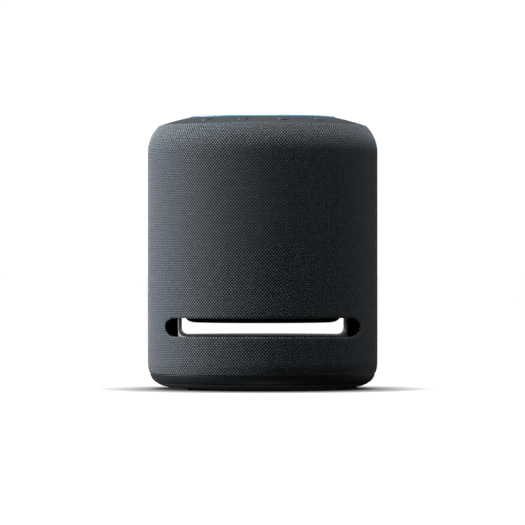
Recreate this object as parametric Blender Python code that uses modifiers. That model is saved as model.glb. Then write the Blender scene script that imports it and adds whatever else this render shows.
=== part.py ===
"""Smart speaker: a knit-covered drum with a slot right through it, a sloped control deck on top and a moulded base.

Metres, +Z up. The origin is the middle of the footprint, on the surface that the feet stand on. The front faces -Y.
"""

import math

import bmesh
import bpy

# ---------------------------------------------------------------- driving dimensions
BODY_HEIGHT = 0.2074
BODY_RADIUS = 0.0875
FABRIC = 0.0012             # thickness of the knit sleeve
SHELL = 0.0020              # thickness of the open shell under the knit
GAP = 0.0003                # clearance between pieces that touch on the real object
SHOULDER_RADIUS = 0.0280    # rounding between the side and the top opening
SHOULDER_Z = 0.1800         # height of that rounding's centre
SLEEVE_BOTTOM_Z = 0.0119

SLOT_BOTTOM_Z = 0.0408      # the sound slot, front to back
SLOT_TOP_Z = 0.0544
SLOT_HALF_WIDTH = 0.0723    # half width of the slot in the sleeve
SHELL_SEAM_Z = 0.0556       # where the upper and lower shells meet
DUCT_HALF_WIDTH = 0.0626    # half width between the two pillars
DUCT_TOP_Z = 0.0566         # underside of the woofer's baffle
DUCT_CORNER = 0.0050
LINER_BOTTOM_Z = 0.0388
BAY_RADIUS = 0.0836         # duct liner and electronics bay

DECK_CREST_RADIUS = 0.0557  # highest edge of the sloped deck, against the light ring
DECK_CREST_Z = 0.2065
DECK_RIM_RADIUS = 0.0773
DECK_SLOPE = 0.2035         # fall per metre of radius at the crest
DECK_CURVE = 3.00           # and how fast that fall grows, per metre
DECK_WALL = 0.0020

KEY_CIRCLE = 0.0662         # the four keys stand on this circle
KEY_RADIUS = 0.0040
KEY_TRAVEL = 0.0006
KEY_ANGLES = {              # degrees from the front, to the right
    "mute_button": -39,
    "volume_down_button": -13,
    "volume_up_button": 13,
    "action_button": 39,
}

BOARD_TOP_Z = 0.1944        # ring board under the keys
BOARD = 0.0016
CAN_RADIUS = 0.0800         # acoustic enclosure
CAN_WALL = 0.0030
CAN_TOP_Z = 0.1870
BAFFLE_TOP_Z = 0.0606

WOOFER_HOLE = 0.0555
MID_HOLE = 0.0232
MID_Z = 0.1500              # height of the two side drivers
MID_SEAT = 0.0745           # distance of their seats from the axis
TWEETER_Z = 0.1600
TWEETER_SEAT = 0.0760

COVER_TOP_Z = 0.0116        # smooth ring under the sleeve
PLATE_BOTTOM_Z = 0.0015
FOOT_HEIGHT = 0.0012
SCREW_CIRCLE = 0.0590
SCREW_ANGLES = (30, 150, 270)

PANEL_Z = 0.0250            # middle of the connector recess, at the back
PANEL_FACE_Y = 0.0778
RECESS_WIDTH = 0.0540
RECESS_HEIGHT = 0.0170

LARGE, MEDIUM, SMALL, TINY = 40, 24, 16, 12     # segments of turned parts, by size
MERGE = 0.00001
ORIGIN = (0.0, 0.0, 0.0)

# ---------------------------------------------------------------- scene and helpers
for old in list(bpy.data.objects):
    bpy.data.objects.remove(old, do_unlink=True)

parts = bpy.data.collections.new("smart_speaker")
cutters = bpy.data.collections.new("cutters")
for collection in (parts, cutters):
    bpy.context.scene.collection.children.link(collection)


def finish(name, colour, roughness, metallic=0.0):
    """A Principled material."""
    material = bpy.data.materials.new(name)
    material.use_nodes = True
    shader = material.node_tree.nodes["Principled BSDF"]
    shader.inputs["Base Color"].default_value = (*colour, 1.0)
    shader.inputs["Roughness"].default_value = roughness
    shader.inputs["Metallic"].default_value = metallic
    return material


KNIT = finish("charcoal_knit", (0.045, 0.050, 0.056), 0.95)
DECK = finish("deck_plastic", (0.050, 0.053, 0.056), 0.55)
LENS = finish("light_lens", (0.06, 0.35, 0.75), 0.35)
KEY = finish("key_plastic", (0.040, 0.042, 0.045), 0.60)
BLACK = finish("black_plastic", (0.010, 0.010, 0.011), 0.50)
BASE = finish("base_plastic", (0.020, 0.022, 0.024), 0.45)
RUBBER = finish("rubber", (0.012, 0.012, 0.012), 0.85)
CONE = finish("cone_paper", (0.022, 0.022, 0.024), 0.80)
SILK = finish("dome_silk", (0.030, 0.030, 0.032), 0.70)
CLOTH = finish("spider_cloth", (0.42, 0.26, 0.10), 0.90)
STEEL = finish("zinc_steel", (0.55, 0.55, 0.56), 0.35, 1.0)
FERRITE = finish("ferrite", (0.060, 0.060, 0.062), 0.60)
COPPER = finish("copper_coil", (0.75, 0.32, 0.14), 0.35, 1.0)
BOARD_GREEN = finish("circuit_board", (0.02, 0.10, 0.05), 0.50)


def add(obj, material=None, parent=None):
    """Puts an object among the parts."""
    parts.objects.link(obj)
    if material:
        obj.data.materials.append(material)
    obj.parent = parent
    return obj


def helper(obj):
    """Makes an object a cutter: kept in the file, left out of the part."""
    for collection in list(obj.users_collection):
        collection.objects.unlink(obj)
    cutters.objects.link(obj)
    obj.hide_render = True
    obj.display_type = "WIRE"
    return obj


def place(obj, location=ORIGIN, rotation=ORIGIN):
    obj.location = location
    obj.rotation_euler = rotation
    return obj


def boolean(target, other, operation):
    modifier = target.modifiers.new(operation.lower(), "BOOLEAN")
    modifier.operation = operation
    modifier.object = helper(other)
    return target


def cut(target, *others):
    for other in others:
        boolean(target, other, "DIFFERENCE")
    return target


def join(target, *others):
    for other in others:
        boolean(target, other, "UNION")
    return target


def empty(name, location=ORIGIN, rotation=ORIGIN, parent=None):
    """The frame of a moving or turned group, on its joint's axis."""
    obj = bpy.data.objects.new(name, None)
    parts.objects.link(obj)
    obj.parent = parent
    return place(obj, location, rotation)


def turned(name, profile, segments, material=None, parent=None):
    """A solid turned about local Z from (radius, height) points that run down its outer side first.

    A profile that starts on the axis is open there, and any other is a closed ring."""
    points = [(radius, 0.0, height) for radius, height in profile]
    edges = [(i, i + 1) for i in range(len(points) - 1)]
    if profile[0][0] > 0:
        edges.append((len(points) - 1, 0))
    mesh = bpy.data.meshes.new(name)
    mesh.from_pydata(points, edges, [])
    obj = add(bpy.data.objects.new(name, mesh), material, parent)
    screw = obj.modifiers.new("turn", "SCREW")
    screw.steps = screw.render_steps = segments
    screw.use_merge_vertices = True
    screw.merge_threshold = MERGE
    return obj


def box(name, size, location, material=None, parent=None):
    """A box of that size about its middle."""
    mesh = bpy.data.meshes.new(name)
    bm = bmesh.new()
    bmesh.ops.create_cube(bm, size=1.0)
    bmesh.ops.scale(bm, vec=size, verts=bm.verts)
    bm.to_mesh(mesh)
    bm.free()
    return place(add(bpy.data.objects.new(name, mesh), material, parent), location)


def cylinder(name, radius, length, location, segments, rotation=ORIGIN, material=None, parent=None):
    """A cylinder along local Z about its middle."""
    mesh = bpy.data.meshes.new(name)
    bm = bmesh.new()
    bmesh.ops.create_cone(
        bm, cap_ends=True, segments=segments, radius1=radius, radius2=radius, depth=length
    )
    bm.to_mesh(mesh)
    bm.free()
    mesh.shade_smooth()
    mesh.set_sharp_from_angle(angle=math.radians(40))
    return place(add(bpy.data.objects.new(name, mesh), material, parent), location, rotation)


def prism(name, outline, length, material=None, parent=None):
    """A flat outline in local XY, extruded along local Z about its middle, as one welded mesh."""
    curve = bpy.data.curves.new(name, "CURVE")
    curve.dimensions = "2D"
    curve.fill_mode = "BOTH"
    curve.extrude = length / 2
    spline = curve.splines.new("POLY")
    spline.points.add(len(outline) - 1)
    for point, (x, y) in zip(spline.points, outline):
        point.co = (x, y, 0.0, 1.0)
    spline.use_cyclic_u = True
    drawn = bpy.data.objects.new(name + "_outline", curve)
    parts.objects.link(drawn)
    graph = bpy.context.evaluated_depsgraph_get()
    mesh = bpy.data.meshes.new_from_object(drawn.evaluated_get(graph))
    bpy.data.objects.remove(drawn, do_unlink=True)
    bm = bmesh.new()
    bm.from_mesh(mesh)
    bmesh.ops.remove_doubles(bm, verts=bm.verts, dist=MERGE)
    bm.to_mesh(mesh)
    bm.free()
    mesh.name = name
    return add(bpy.data.objects.new(name, mesh), material, parent)


def arc(centre, radius, start, end, steps):
    """Points of an arc, angles in degrees."""
    angles = [math.radians(start + (end - start) * i / steps) for i in range(steps + 1)]
    return [(centre[0] + radius * math.cos(a), centre[1] + radius * math.sin(a)) for a in angles]


def rounded_rectangle(width, height, corner, steps=3):
    """Outline of a rectangle about the origin with round corners."""
    x, y = width / 2 - corner, height / 2 - corner
    points = []
    for centre, start in (((x, y), 0), ((-x, y), 90), ((-x, -y), 180), ((x, -y), 270)):
        points += arc(centre, corner, start, start + 90, steps)
    return [p for i, p in enumerate(points) if math.dist(p, points[i - 1]) > MERGE]


LIE_ALONG_Y = (math.pi / 2, 0.0, 0.0)       # turns an XY outline to stand up, facing front and back

# ---------------------------------------------------------------- sleeve: knit cover and perforated shell
housing = empty("housing")


def shoulder_line(inset, top_angle):
    """Section of the rounded shoulder, inset from its outer face, from the top opening down."""
    centre = (BODY_RADIUS - SHOULDER_RADIUS, SHOULDER_Z)
    angles = (top_angle, 36, 24, 12, 0)
    return [arc(centre, SHOULDER_RADIUS - inset, angle, angle, 1)[0] for angle in angles]


def hem_line(inset):
    """Section of the sleeve's lower end, which pulls in a little toward the base."""
    side, straight_end, tuck_z = BODY_RADIUS - inset, 0.0210, 0.0160
    return [(side, straight_end), (side - 0.0003, tuck_z), (side - 0.0013, SLEEVE_BOTTOM_Z)]


def sleeve(name, line, inset, thickness, material):
    """A wall of even thickness turned from a section that is given for any inset."""
    section = line(inset) + line(inset + thickness)[::-1]
    return turned(name, section, LARGE, material, housing)


def slot_cutter(name, half_width, bottom_z, top_z, corner):
    """A round-ended bar right through the drum, front to back."""
    outline = rounded_rectangle(2 * half_width, top_z - bottom_z, corner)
    bar = prism(name, outline, 4 * BODY_RADIUS)
    return place(bar, (0, 0, (bottom_z + top_z) / 2), LIE_ALONG_Y)


def recess_cutter(name, margin):
    """The connector recess's opening in the back."""
    outline = rounded_rectangle(RECESS_WIDTH + 2 * margin, RECESS_HEIGHT + 2 * margin, 0.0040)
    return place(prism(name, outline, BODY_RADIUS), (0, BODY_RADIUS, PANEL_Z), LIE_ALONG_Y)


slot_round = (SLOT_TOP_Z - SLOT_BOTTOM_Z) / 2 - MERGE

fabric_cover = sleeve(
    "fabric_cover", lambda inset: shoulder_line(inset, 47.5) + hem_line(inset), 0.0, FABRIC, KNIT
)
cut(
    fabric_cover,
    slot_cutter("cover_slot", SLOT_HALF_WIDTH, SLOT_BOTTOM_Z, SLOT_TOP_Z, slot_round),
    recess_cutter("cover_recess", 0.0),
)

# the shell under the knit is two mouldings that meet just above the slot
upper_grille = sleeve(
    "upper_grille",
    lambda inset: shoulder_line(inset, 44) + [(BODY_RADIUS - inset, SHELL_SEAM_Z + GAP / 2)],
    FABRIC + GAP,
    SHELL,
    BLACK,
)
lower_grille = sleeve(
    "lower_grille",
    lambda inset: [(BODY_RADIUS - inset, SHELL_SEAM_Z - GAP / 2)] + hem_line(inset),
    FABRIC + GAP,
    SHELL,
    BLACK,
)
slot_margin = 0.0004
cut(
    lower_grille,
    slot_cutter(
        "shell_slot",
        SLOT_HALF_WIDTH + slot_margin,
        SLOT_BOTTOM_Z - slot_margin,
        SLOT_TOP_Z + slot_margin,
        slot_round,
    ),
    recess_cutter("shell_recess", slot_margin),
)


def sound_windows(label, centre, window_radius, count):
    """Level slots in the shell in front of a driver, in a round patch."""
    pitch, height, reach = 2 * window_radius / count, 0.0045, 0.040
    x, y, z = centre
    along_x = abs(x) > abs(y)
    for i in range(count):
        rise = (i - (count - 1) / 2) * pitch
        width = 2 * math.sqrt(window_radius**2 - rise**2)
        size = (reach, width, height) if along_x else (width, reach, height)
        cut(upper_grille, box(f"{label}_window_{i}", size, (x, y, z + rise)))


mid_window, tweeter_window = 0.0230, 0.0120
sound_windows("right", (BODY_RADIUS, 0, MID_Z), mid_window, 5)
sound_windows("left", (-BODY_RADIUS, 0, MID_Z), mid_window, 5)
sound_windows("front", (0, -BODY_RADIUS, TWEETER_Z), tweeter_window, 3)

# ---------------------------------------------------------------- control deck


def deck_z(radius):
    """Height of the sloped top face at a radius."""
    run = radius - DECK_CREST_RADIUS
    return DECK_CREST_Z - DECK_SLOPE * run - DECK_CURVE * run**2


def build_deck():
    """The sloped ring, with a groove for the light ring and a ledge for the top grille."""
    slope_steps = 3
    skirt_outer, skirt_inner, skirt_z = 0.0750, 0.0730, 0.1947
    rim_z, under = 0.1997, DECK_CREST_RADIUS + DECK_WALL
    groove_inner, groove_z, lip_z = 0.0526, 0.2018, 0.2042
    well, ledge, ledge_top, ledge_bottom = 0.0510, 0.0465, 0.1982, 0.1966
    span = DECK_RIM_RADIUS - DECK_CREST_RADIUS
    radii = [DECK_CREST_RADIUS + span * i / slope_steps for i in range(slope_steps + 1)]
    top = [(radius, deck_z(radius)) for radius in radii]
    edge = [
        (DECK_RIM_RADIUS, rim_z),
        (skirt_outer, rim_z - 0.0004),
        (skirt_outer, skirt_z),
        (skirt_inner, skirt_z),
        (skirt_inner, deck_z(skirt_inner) - DECK_WALL),
        (under, deck_z(under) - DECK_WALL),
        (under, groove_z - DECK_WALL),
        (well + DECK_WALL, ledge_bottom),
    ]
    inside = [
        (ledge, ledge_bottom),
        (ledge, ledge_top),
        (well, ledge_top),
        (well, lip_z),
        (groove_inner, lip_z),
        (groove_inner, groove_z),
        (DECK_CREST_RADIUS, groove_z),
    ]
    return turned("top_deck", top + edge + inside, LARGE, DECK, housing)


top_deck = build_deck()

lens_outer, lens_inner, lens_bottom = 0.0554, 0.0529, 0.2021
lens_round = 0.0005
turned(
    "light_ring",
    [
        (lens_outer - lens_round, BODY_HEIGHT),
        (lens_outer, BODY_HEIGHT - lens_round),
        (lens_outer, lens_bottom),
        (lens_inner, lens_bottom),
        (lens_inner, BODY_HEIGHT - 2 * lens_round),
        (lens_inner + 2 * lens_round, BODY_HEIGHT),
    ],
    LARGE,
    LENS,
    housing,
)


def build_top_grille():
    """The slightly crowned, cloth-covered disc in the middle, open in bars above the top driver."""
    edge_radius, edge_z, thickness, crown = 0.0507, 0.1985, 0.0012, 0.0010
    grille = turned(
        "top_grille",
        [
            (0, edge_z + thickness + crown),
            (edge_radius / 2, edge_z + thickness + 0.8 * crown),
            (edge_radius, edge_z + thickness),
            (edge_radius, edge_z),
            (edge_radius / 2, edge_z + 0.8 * crown),
            (0, edge_z + crown),
        ],
        LARGE,
        KNIT,
        housing,
    )
    window, count, bar = 0.0200, 4, 0.0060
    for i in range(count):
        offset = (i - (count - 1) / 2) * 2 * window / count
        width = 2 * math.sqrt(window**2 - offset**2)
        cut(grille, box(f"grille_window_{i}", (width, bar, 0.02), (0, offset, edge_z)))


build_top_grille()


def build_key(name, angle):
    """A key on its own vertical slide, its hole in the deck, and the switch that it presses."""
    turn = math.radians(angle)
    x, y = KEY_CIRCLE * math.sin(turn), -KEY_CIRCLE * math.cos(turn)
    key_frame = empty(name + "_slide", (x, y, 0), (0, 0, turn - math.pi / 2), housing)
    proud, flange, flange_top = 0.0005, 0.0008, 0.2001
    switch_top, stem, plunger = 0.1974, 0.0016, 0.0014
    crown_z = deck_z(KEY_CIRCLE) + proud
    stem_z = switch_top + KEY_TRAVEL + GAP
    key = turned(
        name,
        [
            (0, BODY_HEIGHT),
            (KEY_RADIUS, BODY_HEIGHT),
            (KEY_RADIUS, flange_top),
            (KEY_RADIUS + 0.0012, flange_top),
            (KEY_RADIUS + 0.0012, flange_top - flange),
            (stem, flange_top - flange),
            (stem, stem_z),
            (0, stem_z),
        ],
        SMALL,
        KEY,
        key_frame,
    )
    # the crown is cut level with the slope around it; local +X points outward, downhill
    tilt = math.atan(DECK_SLOPE + 2 * DECK_CURVE * (KEY_CIRCLE - DECK_CREST_RADIUS))
    block, half = 4 * KEY_RADIUS, 0.003
    crown = (half * math.sin(tilt), 0, crown_z + half * math.cos(tilt))
    trim = box(name + "_crown", (block, block, 2 * half), crown, parent=key_frame)
    trim.rotation_euler = (0, tilt, 0)
    cut(key, trim)
    hole = cylinder(name + "_hole", KEY_RADIUS + GAP, 0.03, (x, y, DECK_CREST_Z), 2 * TINY)
    cut(top_deck, hole)
    side, body_top = 0.0062, 0.1968
    bottom = BOARD_TOP_Z + GAP
    switch = box(
        name.replace("button", "switch"),
        (side, side, body_top - bottom),
        (0, 0, (body_top + bottom) / 2),
        BLACK,
        key_frame,
    )
    knob_z = (body_top + bottom) / 2
    knob = cylinder(
        name + "_plunger",
        plunger,
        switch_top - knob_z,
        (0, 0, (switch_top + knob_z) / 2),
        TINY,
        parent=key_frame,
    )
    join(switch, knob)


for key_name, key_angle in KEY_ANGLES.items():
    build_key(key_name, key_angle)

board_inner, board_outer = 0.0560, 0.0752
turned(
    "control_board",
    [
        (board_outer, BOARD_TOP_Z),
        (board_outer, BOARD_TOP_Z - BOARD),
        (board_inner, BOARD_TOP_Z - BOARD),
        (board_inner, BOARD_TOP_Z),
    ],
    LARGE,
    BOARD_GREEN,
    housing,
)

# ---------------------------------------------------------------- acoustic enclosure


def driver_seat(target, label, direction, seat, height, block, pocket, hole):
    """A flat seat sunk in the enclosure's wall, thickened behind, with the driver's hole through it."""
    x, y = direction
    depth, back = 0.004, 0.0025
    middle = seat - depth + (depth + back) / 2

    def slab(name, near, far, half_width, half_height):
        centre, length = (near + far) / 2, far - near
        size = (length, 2 * half_width, 2 * half_height)
        if y:
            size = (2 * half_width, length, 2 * half_height)
        return box(name, size, (x * centre, y * centre, height))

    lump = slab(label + "_lump", middle - (depth + back) / 2, middle + (depth + back) / 2, *block)
    join(target, lump)
    cut(target, slab(label + "_pocket", seat, seat + 0.02, *pocket))
    turn = (0, math.pi / 2, 0) if x else (math.pi / 2, 0, 0)
    bore = cylinder(label + "_bore", hole, 0.03, (x * seat, y * seat, height), 2 * TINY, turn)
    cut(target, bore)


def build_enclosure():
    """The sealed can behind every driver, on a thick baffle, with a rib that carries the board."""
    rib_inner, rib_outer, rib_top = 0.0690, 0.0720, BOARD_TOP_Z - BOARD - GAP
    chamfer, roof_z = 0.0020, CAN_TOP_Z - CAN_WALL
    can = turned(
        "acoustic_enclosure",
        [
            (MID_HOLE, CAN_TOP_Z),
            (rib_inner, CAN_TOP_Z),
            (rib_inner, rib_top),
            (rib_outer, rib_top),
            (rib_outer, CAN_TOP_Z),
            (CAN_RADIUS - chamfer, CAN_TOP_Z),
            (CAN_RADIUS, CAN_TOP_Z - chamfer),
            (CAN_RADIUS, DUCT_TOP_Z),
            (WOOFER_HOLE, DUCT_TOP_Z),
            (WOOFER_HOLE, BAFFLE_TOP_Z),
            (CAN_RADIUS - CAN_WALL, BAFFLE_TOP_Z),
            (CAN_RADIUS - CAN_WALL, roof_z),
            (MID_HOLE, roof_z),
        ],
        LARGE,
        BLACK,
        housing,
    )
    mid_block, mid_pocket = (0.0240, 0.0320), (0.0310, 0.0290)
    driver_seat(can, "right", (1, 0), MID_SEAT, MID_Z, mid_block, mid_pocket, MID_HOLE)
    driver_seat(can, "left", (-1, 0), MID_SEAT, MID_Z, mid_block, mid_pocket, MID_HOLE)
    small_block, small_pocket, small_hole = (0.0215, 0.0235), (0.0260, 0.0210), 0.0172
    driver_seat(
        can, "front", (0, -1), TWEETER_SEAT, TWEETER_Z, small_block, small_pocket, small_hole
    )
    return can


build_enclosure()

# ---------------------------------------------------------------- drivers
# Every driver is drawn in its own frame: its seat at local z = 0, sounding toward local +Z.


def build_mid(side, location, rotation):
    """A small full-range driver; its cone, cap and coil former move along its axis."""
    axis = empty(f"{side}_mid_axis", location, rotation, housing)
    turned(
        f"{side}_mid_frame",
        [
            (0.0270, 0.0018),
            (0.0270, 0.0003),
            (0.0224, 0.0003),
            (0.0224, -0.0060),
            (0.0140, -0.0120),
            (0.0100, -0.0120),
            (0.0100, -0.0108),
            (0.0134, -0.0108),
            (0.0212, -0.0052),
            (0.0212, 0.0018),
        ],
        SMALL,
        BLACK,
        axis,
    )
    turned(
        f"{side}_mid_surround",
        [
            (0.0245, 0.0026),
            (0.0245, 0.0021),
            (0.0205, 0.0021),
            (0.0188, 0.0041),
            (0.0171, 0.0021),
            (0.0158, 0.0021),
            (0.0158, 0.0026),
            (0.0169, 0.0026),
            (0.0188, 0.0047),
            (0.0207, 0.0026),
        ],
        SMALL,
        RUBBER,
        axis,
    )
    turned(
        f"{side}_mid_cone",
        [
            (0, -0.0010),
            (0.0048, -0.0022),
            (0.0076, -0.0040),
            (0.0167, 0.0018),
            (0.0167, 0.0012),
            (0.0078, -0.0046),
            (0.0078, -0.0150),
            (0.0070, -0.0150),
            (0.0070, -0.0043),
            (0.0045, -0.0028),
            (0, -0.0017),
        ],
        SMALL,
        CONE,
        axis,
    )
    turned(
        f"{side}_mid_magnet",
        [
            (0, -0.0105),
            (0.0062, -0.0105),
            (0.0062, -0.0170),
            (0.0086, -0.0170),
            (0.0086, -0.0123),
            (0.0150, -0.0123),
            (0.0150, -0.0215),
            (0, -0.0215),
        ],
        SMALL,
        FERRITE,
        axis,
    )


build_mid("right", (MID_SEAT, 0, MID_Z), (0, math.pi / 2, 0))
build_mid("left", (-MID_SEAT, 0, MID_Z), (0, -math.pi / 2, 0))
build_mid("top", (0, 0, CAN_TOP_Z), ORIGIN)


def build_tweeter():
    """A dome driver behind the front of the drum."""
    axis = empty("tweeter_axis", (0, -TWEETER_SEAT, TWEETER_Z), LIE_ALONG_Y, housing)
    turned(
        "tweeter_faceplate",
        [
            (0.0200, 0.0023),
            (0.0200, 0.0003),
            (0.0165, 0.0003),
            (0.0165, -0.0030),
            (0.0140, -0.0030),
            (0.0140, 0.0005),
            (0.0162, 0.0023),
        ],
        SMALL,
        BLACK,
        axis,
    )
    turned(
        "tweeter_dome",
        [
            (0, 0.0046),
            (0.0060, 0.0037),
            (0.0100, 0.0016),
            (0.0117, -0.0007),
            (0.0134, -0.0007),
            (0.0134, -0.0012),
            (0.0121, -0.0012),
            (0.0121, -0.0060),
            (0.0115, -0.0060),
            (0.0115, -0.0013),
            (0.0096, 0.0010),
            (0.0057, 0.0030),
            (0, 0.0040),
        ],
        SMALL,
        SILK,
        axis,
    )
    turned(
        "tweeter_magnet",
        [
            (0, -0.0020),
            (0.0107, -0.0020),
            (0.0107, -0.0075),
            (0.0130, -0.0075),
            (0.0130, -0.0033),
            (0.0155, -0.0033),
            (0.0155, -0.0150),
            (0, -0.0150),
        ],
        SMALL,
        FERRITE,
        axis,
    )


build_tweeter()


def build_woofer():
    """The large driver on the baffle, sounding down into the slot."""
    axis = empty("woofer_axis", (0, 0, BAFFLE_TOP_Z), (math.pi, 0, 0), housing)
    basket = turned(
        "woofer_basket",
        [
            (0.0640, -0.0003),
            (0.0640, -0.0023),
            (0.0520, -0.0023),
            (0.0380, -0.0320),
            (0.0240, -0.0320),
            (0.0240, -0.0300),
            (0.0362, -0.0300),
            (0.0500, -0.0015),
            (0.0500, -0.0003),
        ],
        MEDIUM,
        STEEL,
        axis,
    )
    window_width, window_height, window_z = 0.034, 0.016, -0.0145
    for i in range(3):
        window = box(
            f"basket_window_{i}", (0.2, window_width, window_height), (0, 0, window_z), parent=axis
        )
        window.rotation_euler = (0, 0, math.radians(60 * i))
        cut(basket, window)
    turned(
        "woofer_surround",
        [
            (0.0550, 0.0007),
            (0.0550, 0.0000),
            (0.0500, 0.0000),
            (0.0482, 0.0026),
            (0.0460, 0.0036),
            (0.0438, 0.0026),
            (0.0420, 0.0000),
            (0.0390, 0.0000),
            (0.0390, 0.0007),
            (0.0416, 0.0007),
            (0.0434, 0.0033),
            (0.0460, 0.0044),
            (0.0486, 0.0033),
            (0.0504, 0.0007),
        ],
        MEDIUM,
        RUBBER,
        axis,
    )
    turned(
        "woofer_cone",
        [
            (0, -0.0115),
            (0.0100, -0.0131),
            (0.0190, -0.0169),
            (0.0412, -0.0004),
            (0.0412, -0.0012),
            (0.0168, -0.0194),
            (0.0163, -0.0176),
            (0.0098, -0.0140),
            (0, -0.0124),
        ],
        MEDIUM,
        CONE,
        axis,
    )
    turned(
        "voice_coil",
        [
            (0.0156, -0.0180),
            (0.0156, -0.0305),
            (0.0162, -0.0305),
            (0.0162, -0.0390),
            (0.0150, -0.0390),
            (0.0150, -0.0180),
        ],
        MEDIUM,
        COPPER,
        axis,
    )
    turned(
        "woofer_spider",
        [
            (0.0380, -0.0241),
            (0.0380, -0.0246),
            (0.0330, -0.0256),
            (0.0280, -0.0236),
            (0.0230, -0.0256),
            (0.0160, -0.0246),
            (0.0160, -0.0241),
            (0.0230, -0.0250),
            (0.0280, -0.0230),
            (0.0330, -0.0250),
        ],
        MEDIUM,
        CLOTH,
        axis,
    )
    turned(
        "woofer_top_plate",
        [
            (0.0340, -0.0323),
            (0.0340, -0.0373),
            (0.0170, -0.0373),
            (0.0170, -0.0323),
        ],
        MEDIUM,
        STEEL,
        axis,
    )
    turned(
        "woofer_magnet",
        [
            (0.0400, -0.0376),
            (0.0400, -0.0516),
            (0.0200, -0.0516),
            (0.0200, -0.0376),
        ],
        MEDIUM,
        FERRITE,
        axis,
    )
    turned(
        "woofer_pole_piece",
        [
            (0, -0.0318),
            (0.0140, -0.0318),
            (0.0140, -0.0519),
            (0.0360, -0.0519),
            (0.0360, -0.0569),
            (0, -0.0569),
        ],
        MEDIUM,
        STEEL,
        axis,
    )
    trim_bottom, trim_outer, trim_inner = 0.0504, 0.0587, 0.0508
    trim_top = DUCT_TOP_Z - GAP
    turned(
        "woofer_trim",
        [
            (trim_outer, trim_top),
            (trim_outer, trim_bottom + 0.0028),
            (trim_outer - 0.0010, trim_bottom + 0.0008),
            (trim_outer - 0.0034, trim_bottom),
            (trim_inner, trim_bottom),
            (trim_inner, trim_top),
        ],
        LARGE,
        BLACK,
        housing,
    )


build_woofer()

# ---------------------------------------------------------------- duct, electronics bay and base


def build_duct():
    """The floor of the sound slot and the two pillars that carry the enclosure above it."""
    top = DUCT_TOP_Z - GAP
    liner = turned(
        "duct_liner",
        [(0, top), (BAY_RADIUS, top), (BAY_RADIUS, LINER_BOTTOM_Z), (0, LINER_BOTTOM_Z)],
        LARGE,
        BLACK,
        housing,
    )
    cut(
        liner,
        slot_cutter("duct", DUCT_HALF_WIDTH, SLOT_BOTTOM_Z, DUCT_TOP_Z + DUCT_CORNER, DUCT_CORNER),
    )


build_duct()


def around(circle, angles):
    """Places on a circle, angles in degrees from +X."""
    return [arc((0, 0), circle, angle, angle, 1)[0] for angle in angles]


def build_chassis():
    """The cup over the electronics, with a boss for each screw and the connector opening."""
    top, wall, roof = LINER_BOTTOM_Z - GAP, 0.0026, 0.0025
    foot_z, boss_bottom = COVER_TOP_Z + GAP, 0.0050
    chassis = turned(
        "chassis",
        [
            (0, top),
            (BAY_RADIUS, top),
            (BAY_RADIUS, 0.0212),
            (BAY_RADIUS - 0.0006, 0.0160),
            (BAY_RADIUS - 0.0019, foot_z),
            (BAY_RADIUS - wall - 0.0019, foot_z),
            (BAY_RADIUS - wall, 0.0212),
            (BAY_RADIUS - wall, top - roof),
            (0, top - roof),
        ],
        LARGE,
        BLACK,
        housing,
    )
    boss_radius, hole_radius, hole_top = 0.0042, 0.0018, 0.0156
    boss_top = top - roof / 2
    for i, (x, y) in enumerate(around(SCREW_CIRCLE, SCREW_ANGLES)):
        length = boss_top - boss_bottom
        middle = (boss_top + boss_bottom) / 2
        join(chassis, cylinder(f"boss_{i}", boss_radius, length, (x, y, middle), TINY))
        hole = cylinder(f"boss_hole_{i}", hole_radius, 2 * hole_top, (x, y, 0), TINY)
        cut(chassis, hole)
    cut(chassis, recess_cutter("chassis_recess", 0.0))


build_chassis()

base_inner = 0.0765
turned(
    "base_cover",
    [
        (0.0859, COVER_TOP_Z),
        (0.0857, 0.0108),
        (0.0852, 0.0096),
        (0.0845, 0.0081),
        (0.0834, 0.0066),
        (0.0817, 0.0051),
        (base_inner, 0.0050),
        (base_inner, COVER_TOP_Z),
    ],
    LARGE,
    BASE,
    housing,
)


def build_bottom_plate():
    """The plate under the speaker, with posts for the boards and countersunk screw holes."""
    top = 0.0047
    plate = turned(
        "bottom_plate",
        [
            (0, top),
            (0.0810, top),
            (0.0792, 0.0035),
            (0.0756, 0.0021),
            (0.0726, PLATE_BOTTOM_Z),
            (0, PLATE_BOTTOM_Z),
        ],
        LARGE,
        BLACK,
        housing,
    )
    post, post_top, sunk = 0.0025, 0.0097, 0.0020
    for i, x in enumerate((-0.031, 0.031)):
        for j, y in enumerate((-0.045, -0.009, 0.009, 0.045)):
            length, middle = post_top - top + sunk, (post_top + top - sunk) / 2
            join(plate, cylinder(f"post_{i}_{j}", post, length, (x, y, middle), TINY))
    head_z = 0.0033
    for i, (x, y) in enumerate(around(SCREW_CIRCLE, SCREW_ANGLES)):
        cut(
            plate,
            cylinder(f"plate_hole_{i}", 0.0018, 0.02, (x, y, 0), TINY),
            cylinder(f"counterbore_{i}", 0.0034, 2 * head_z, (x, y, 0), SMALL),
        )


build_bottom_plate()


def build_base_screw(index, spot):
    """A cross-head screw up through the plate into its boss."""
    head_top, head_bottom, tip = 0.0030, 0.0017, 0.0150
    screw = turned(
        f"base_screw_{index}",
        [
            (0, tip),
            (0.0015, tip - 0.0010),
            (0.0015, head_top),
            (0.0029, head_top),
            (0.0029, head_bottom),
            (0, head_bottom),
        ],
        TINY,
        STEEL,
        housing,
    )
    screw.location = (*spot, 0)
    arm, width, depth = 0.0036, 0.0007, 0.0010
    for turn, size in enumerate(((arm, width, 2 * depth), (width, arm, 2 * depth))):
        cut(screw, box(f"screw_{index}_cross_{turn}", size, (*spot, head_bottom)))


for number, spot in enumerate(around(SCREW_CIRCLE, SCREW_ANGLES), 1):
    build_base_screw(number, spot)


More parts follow.
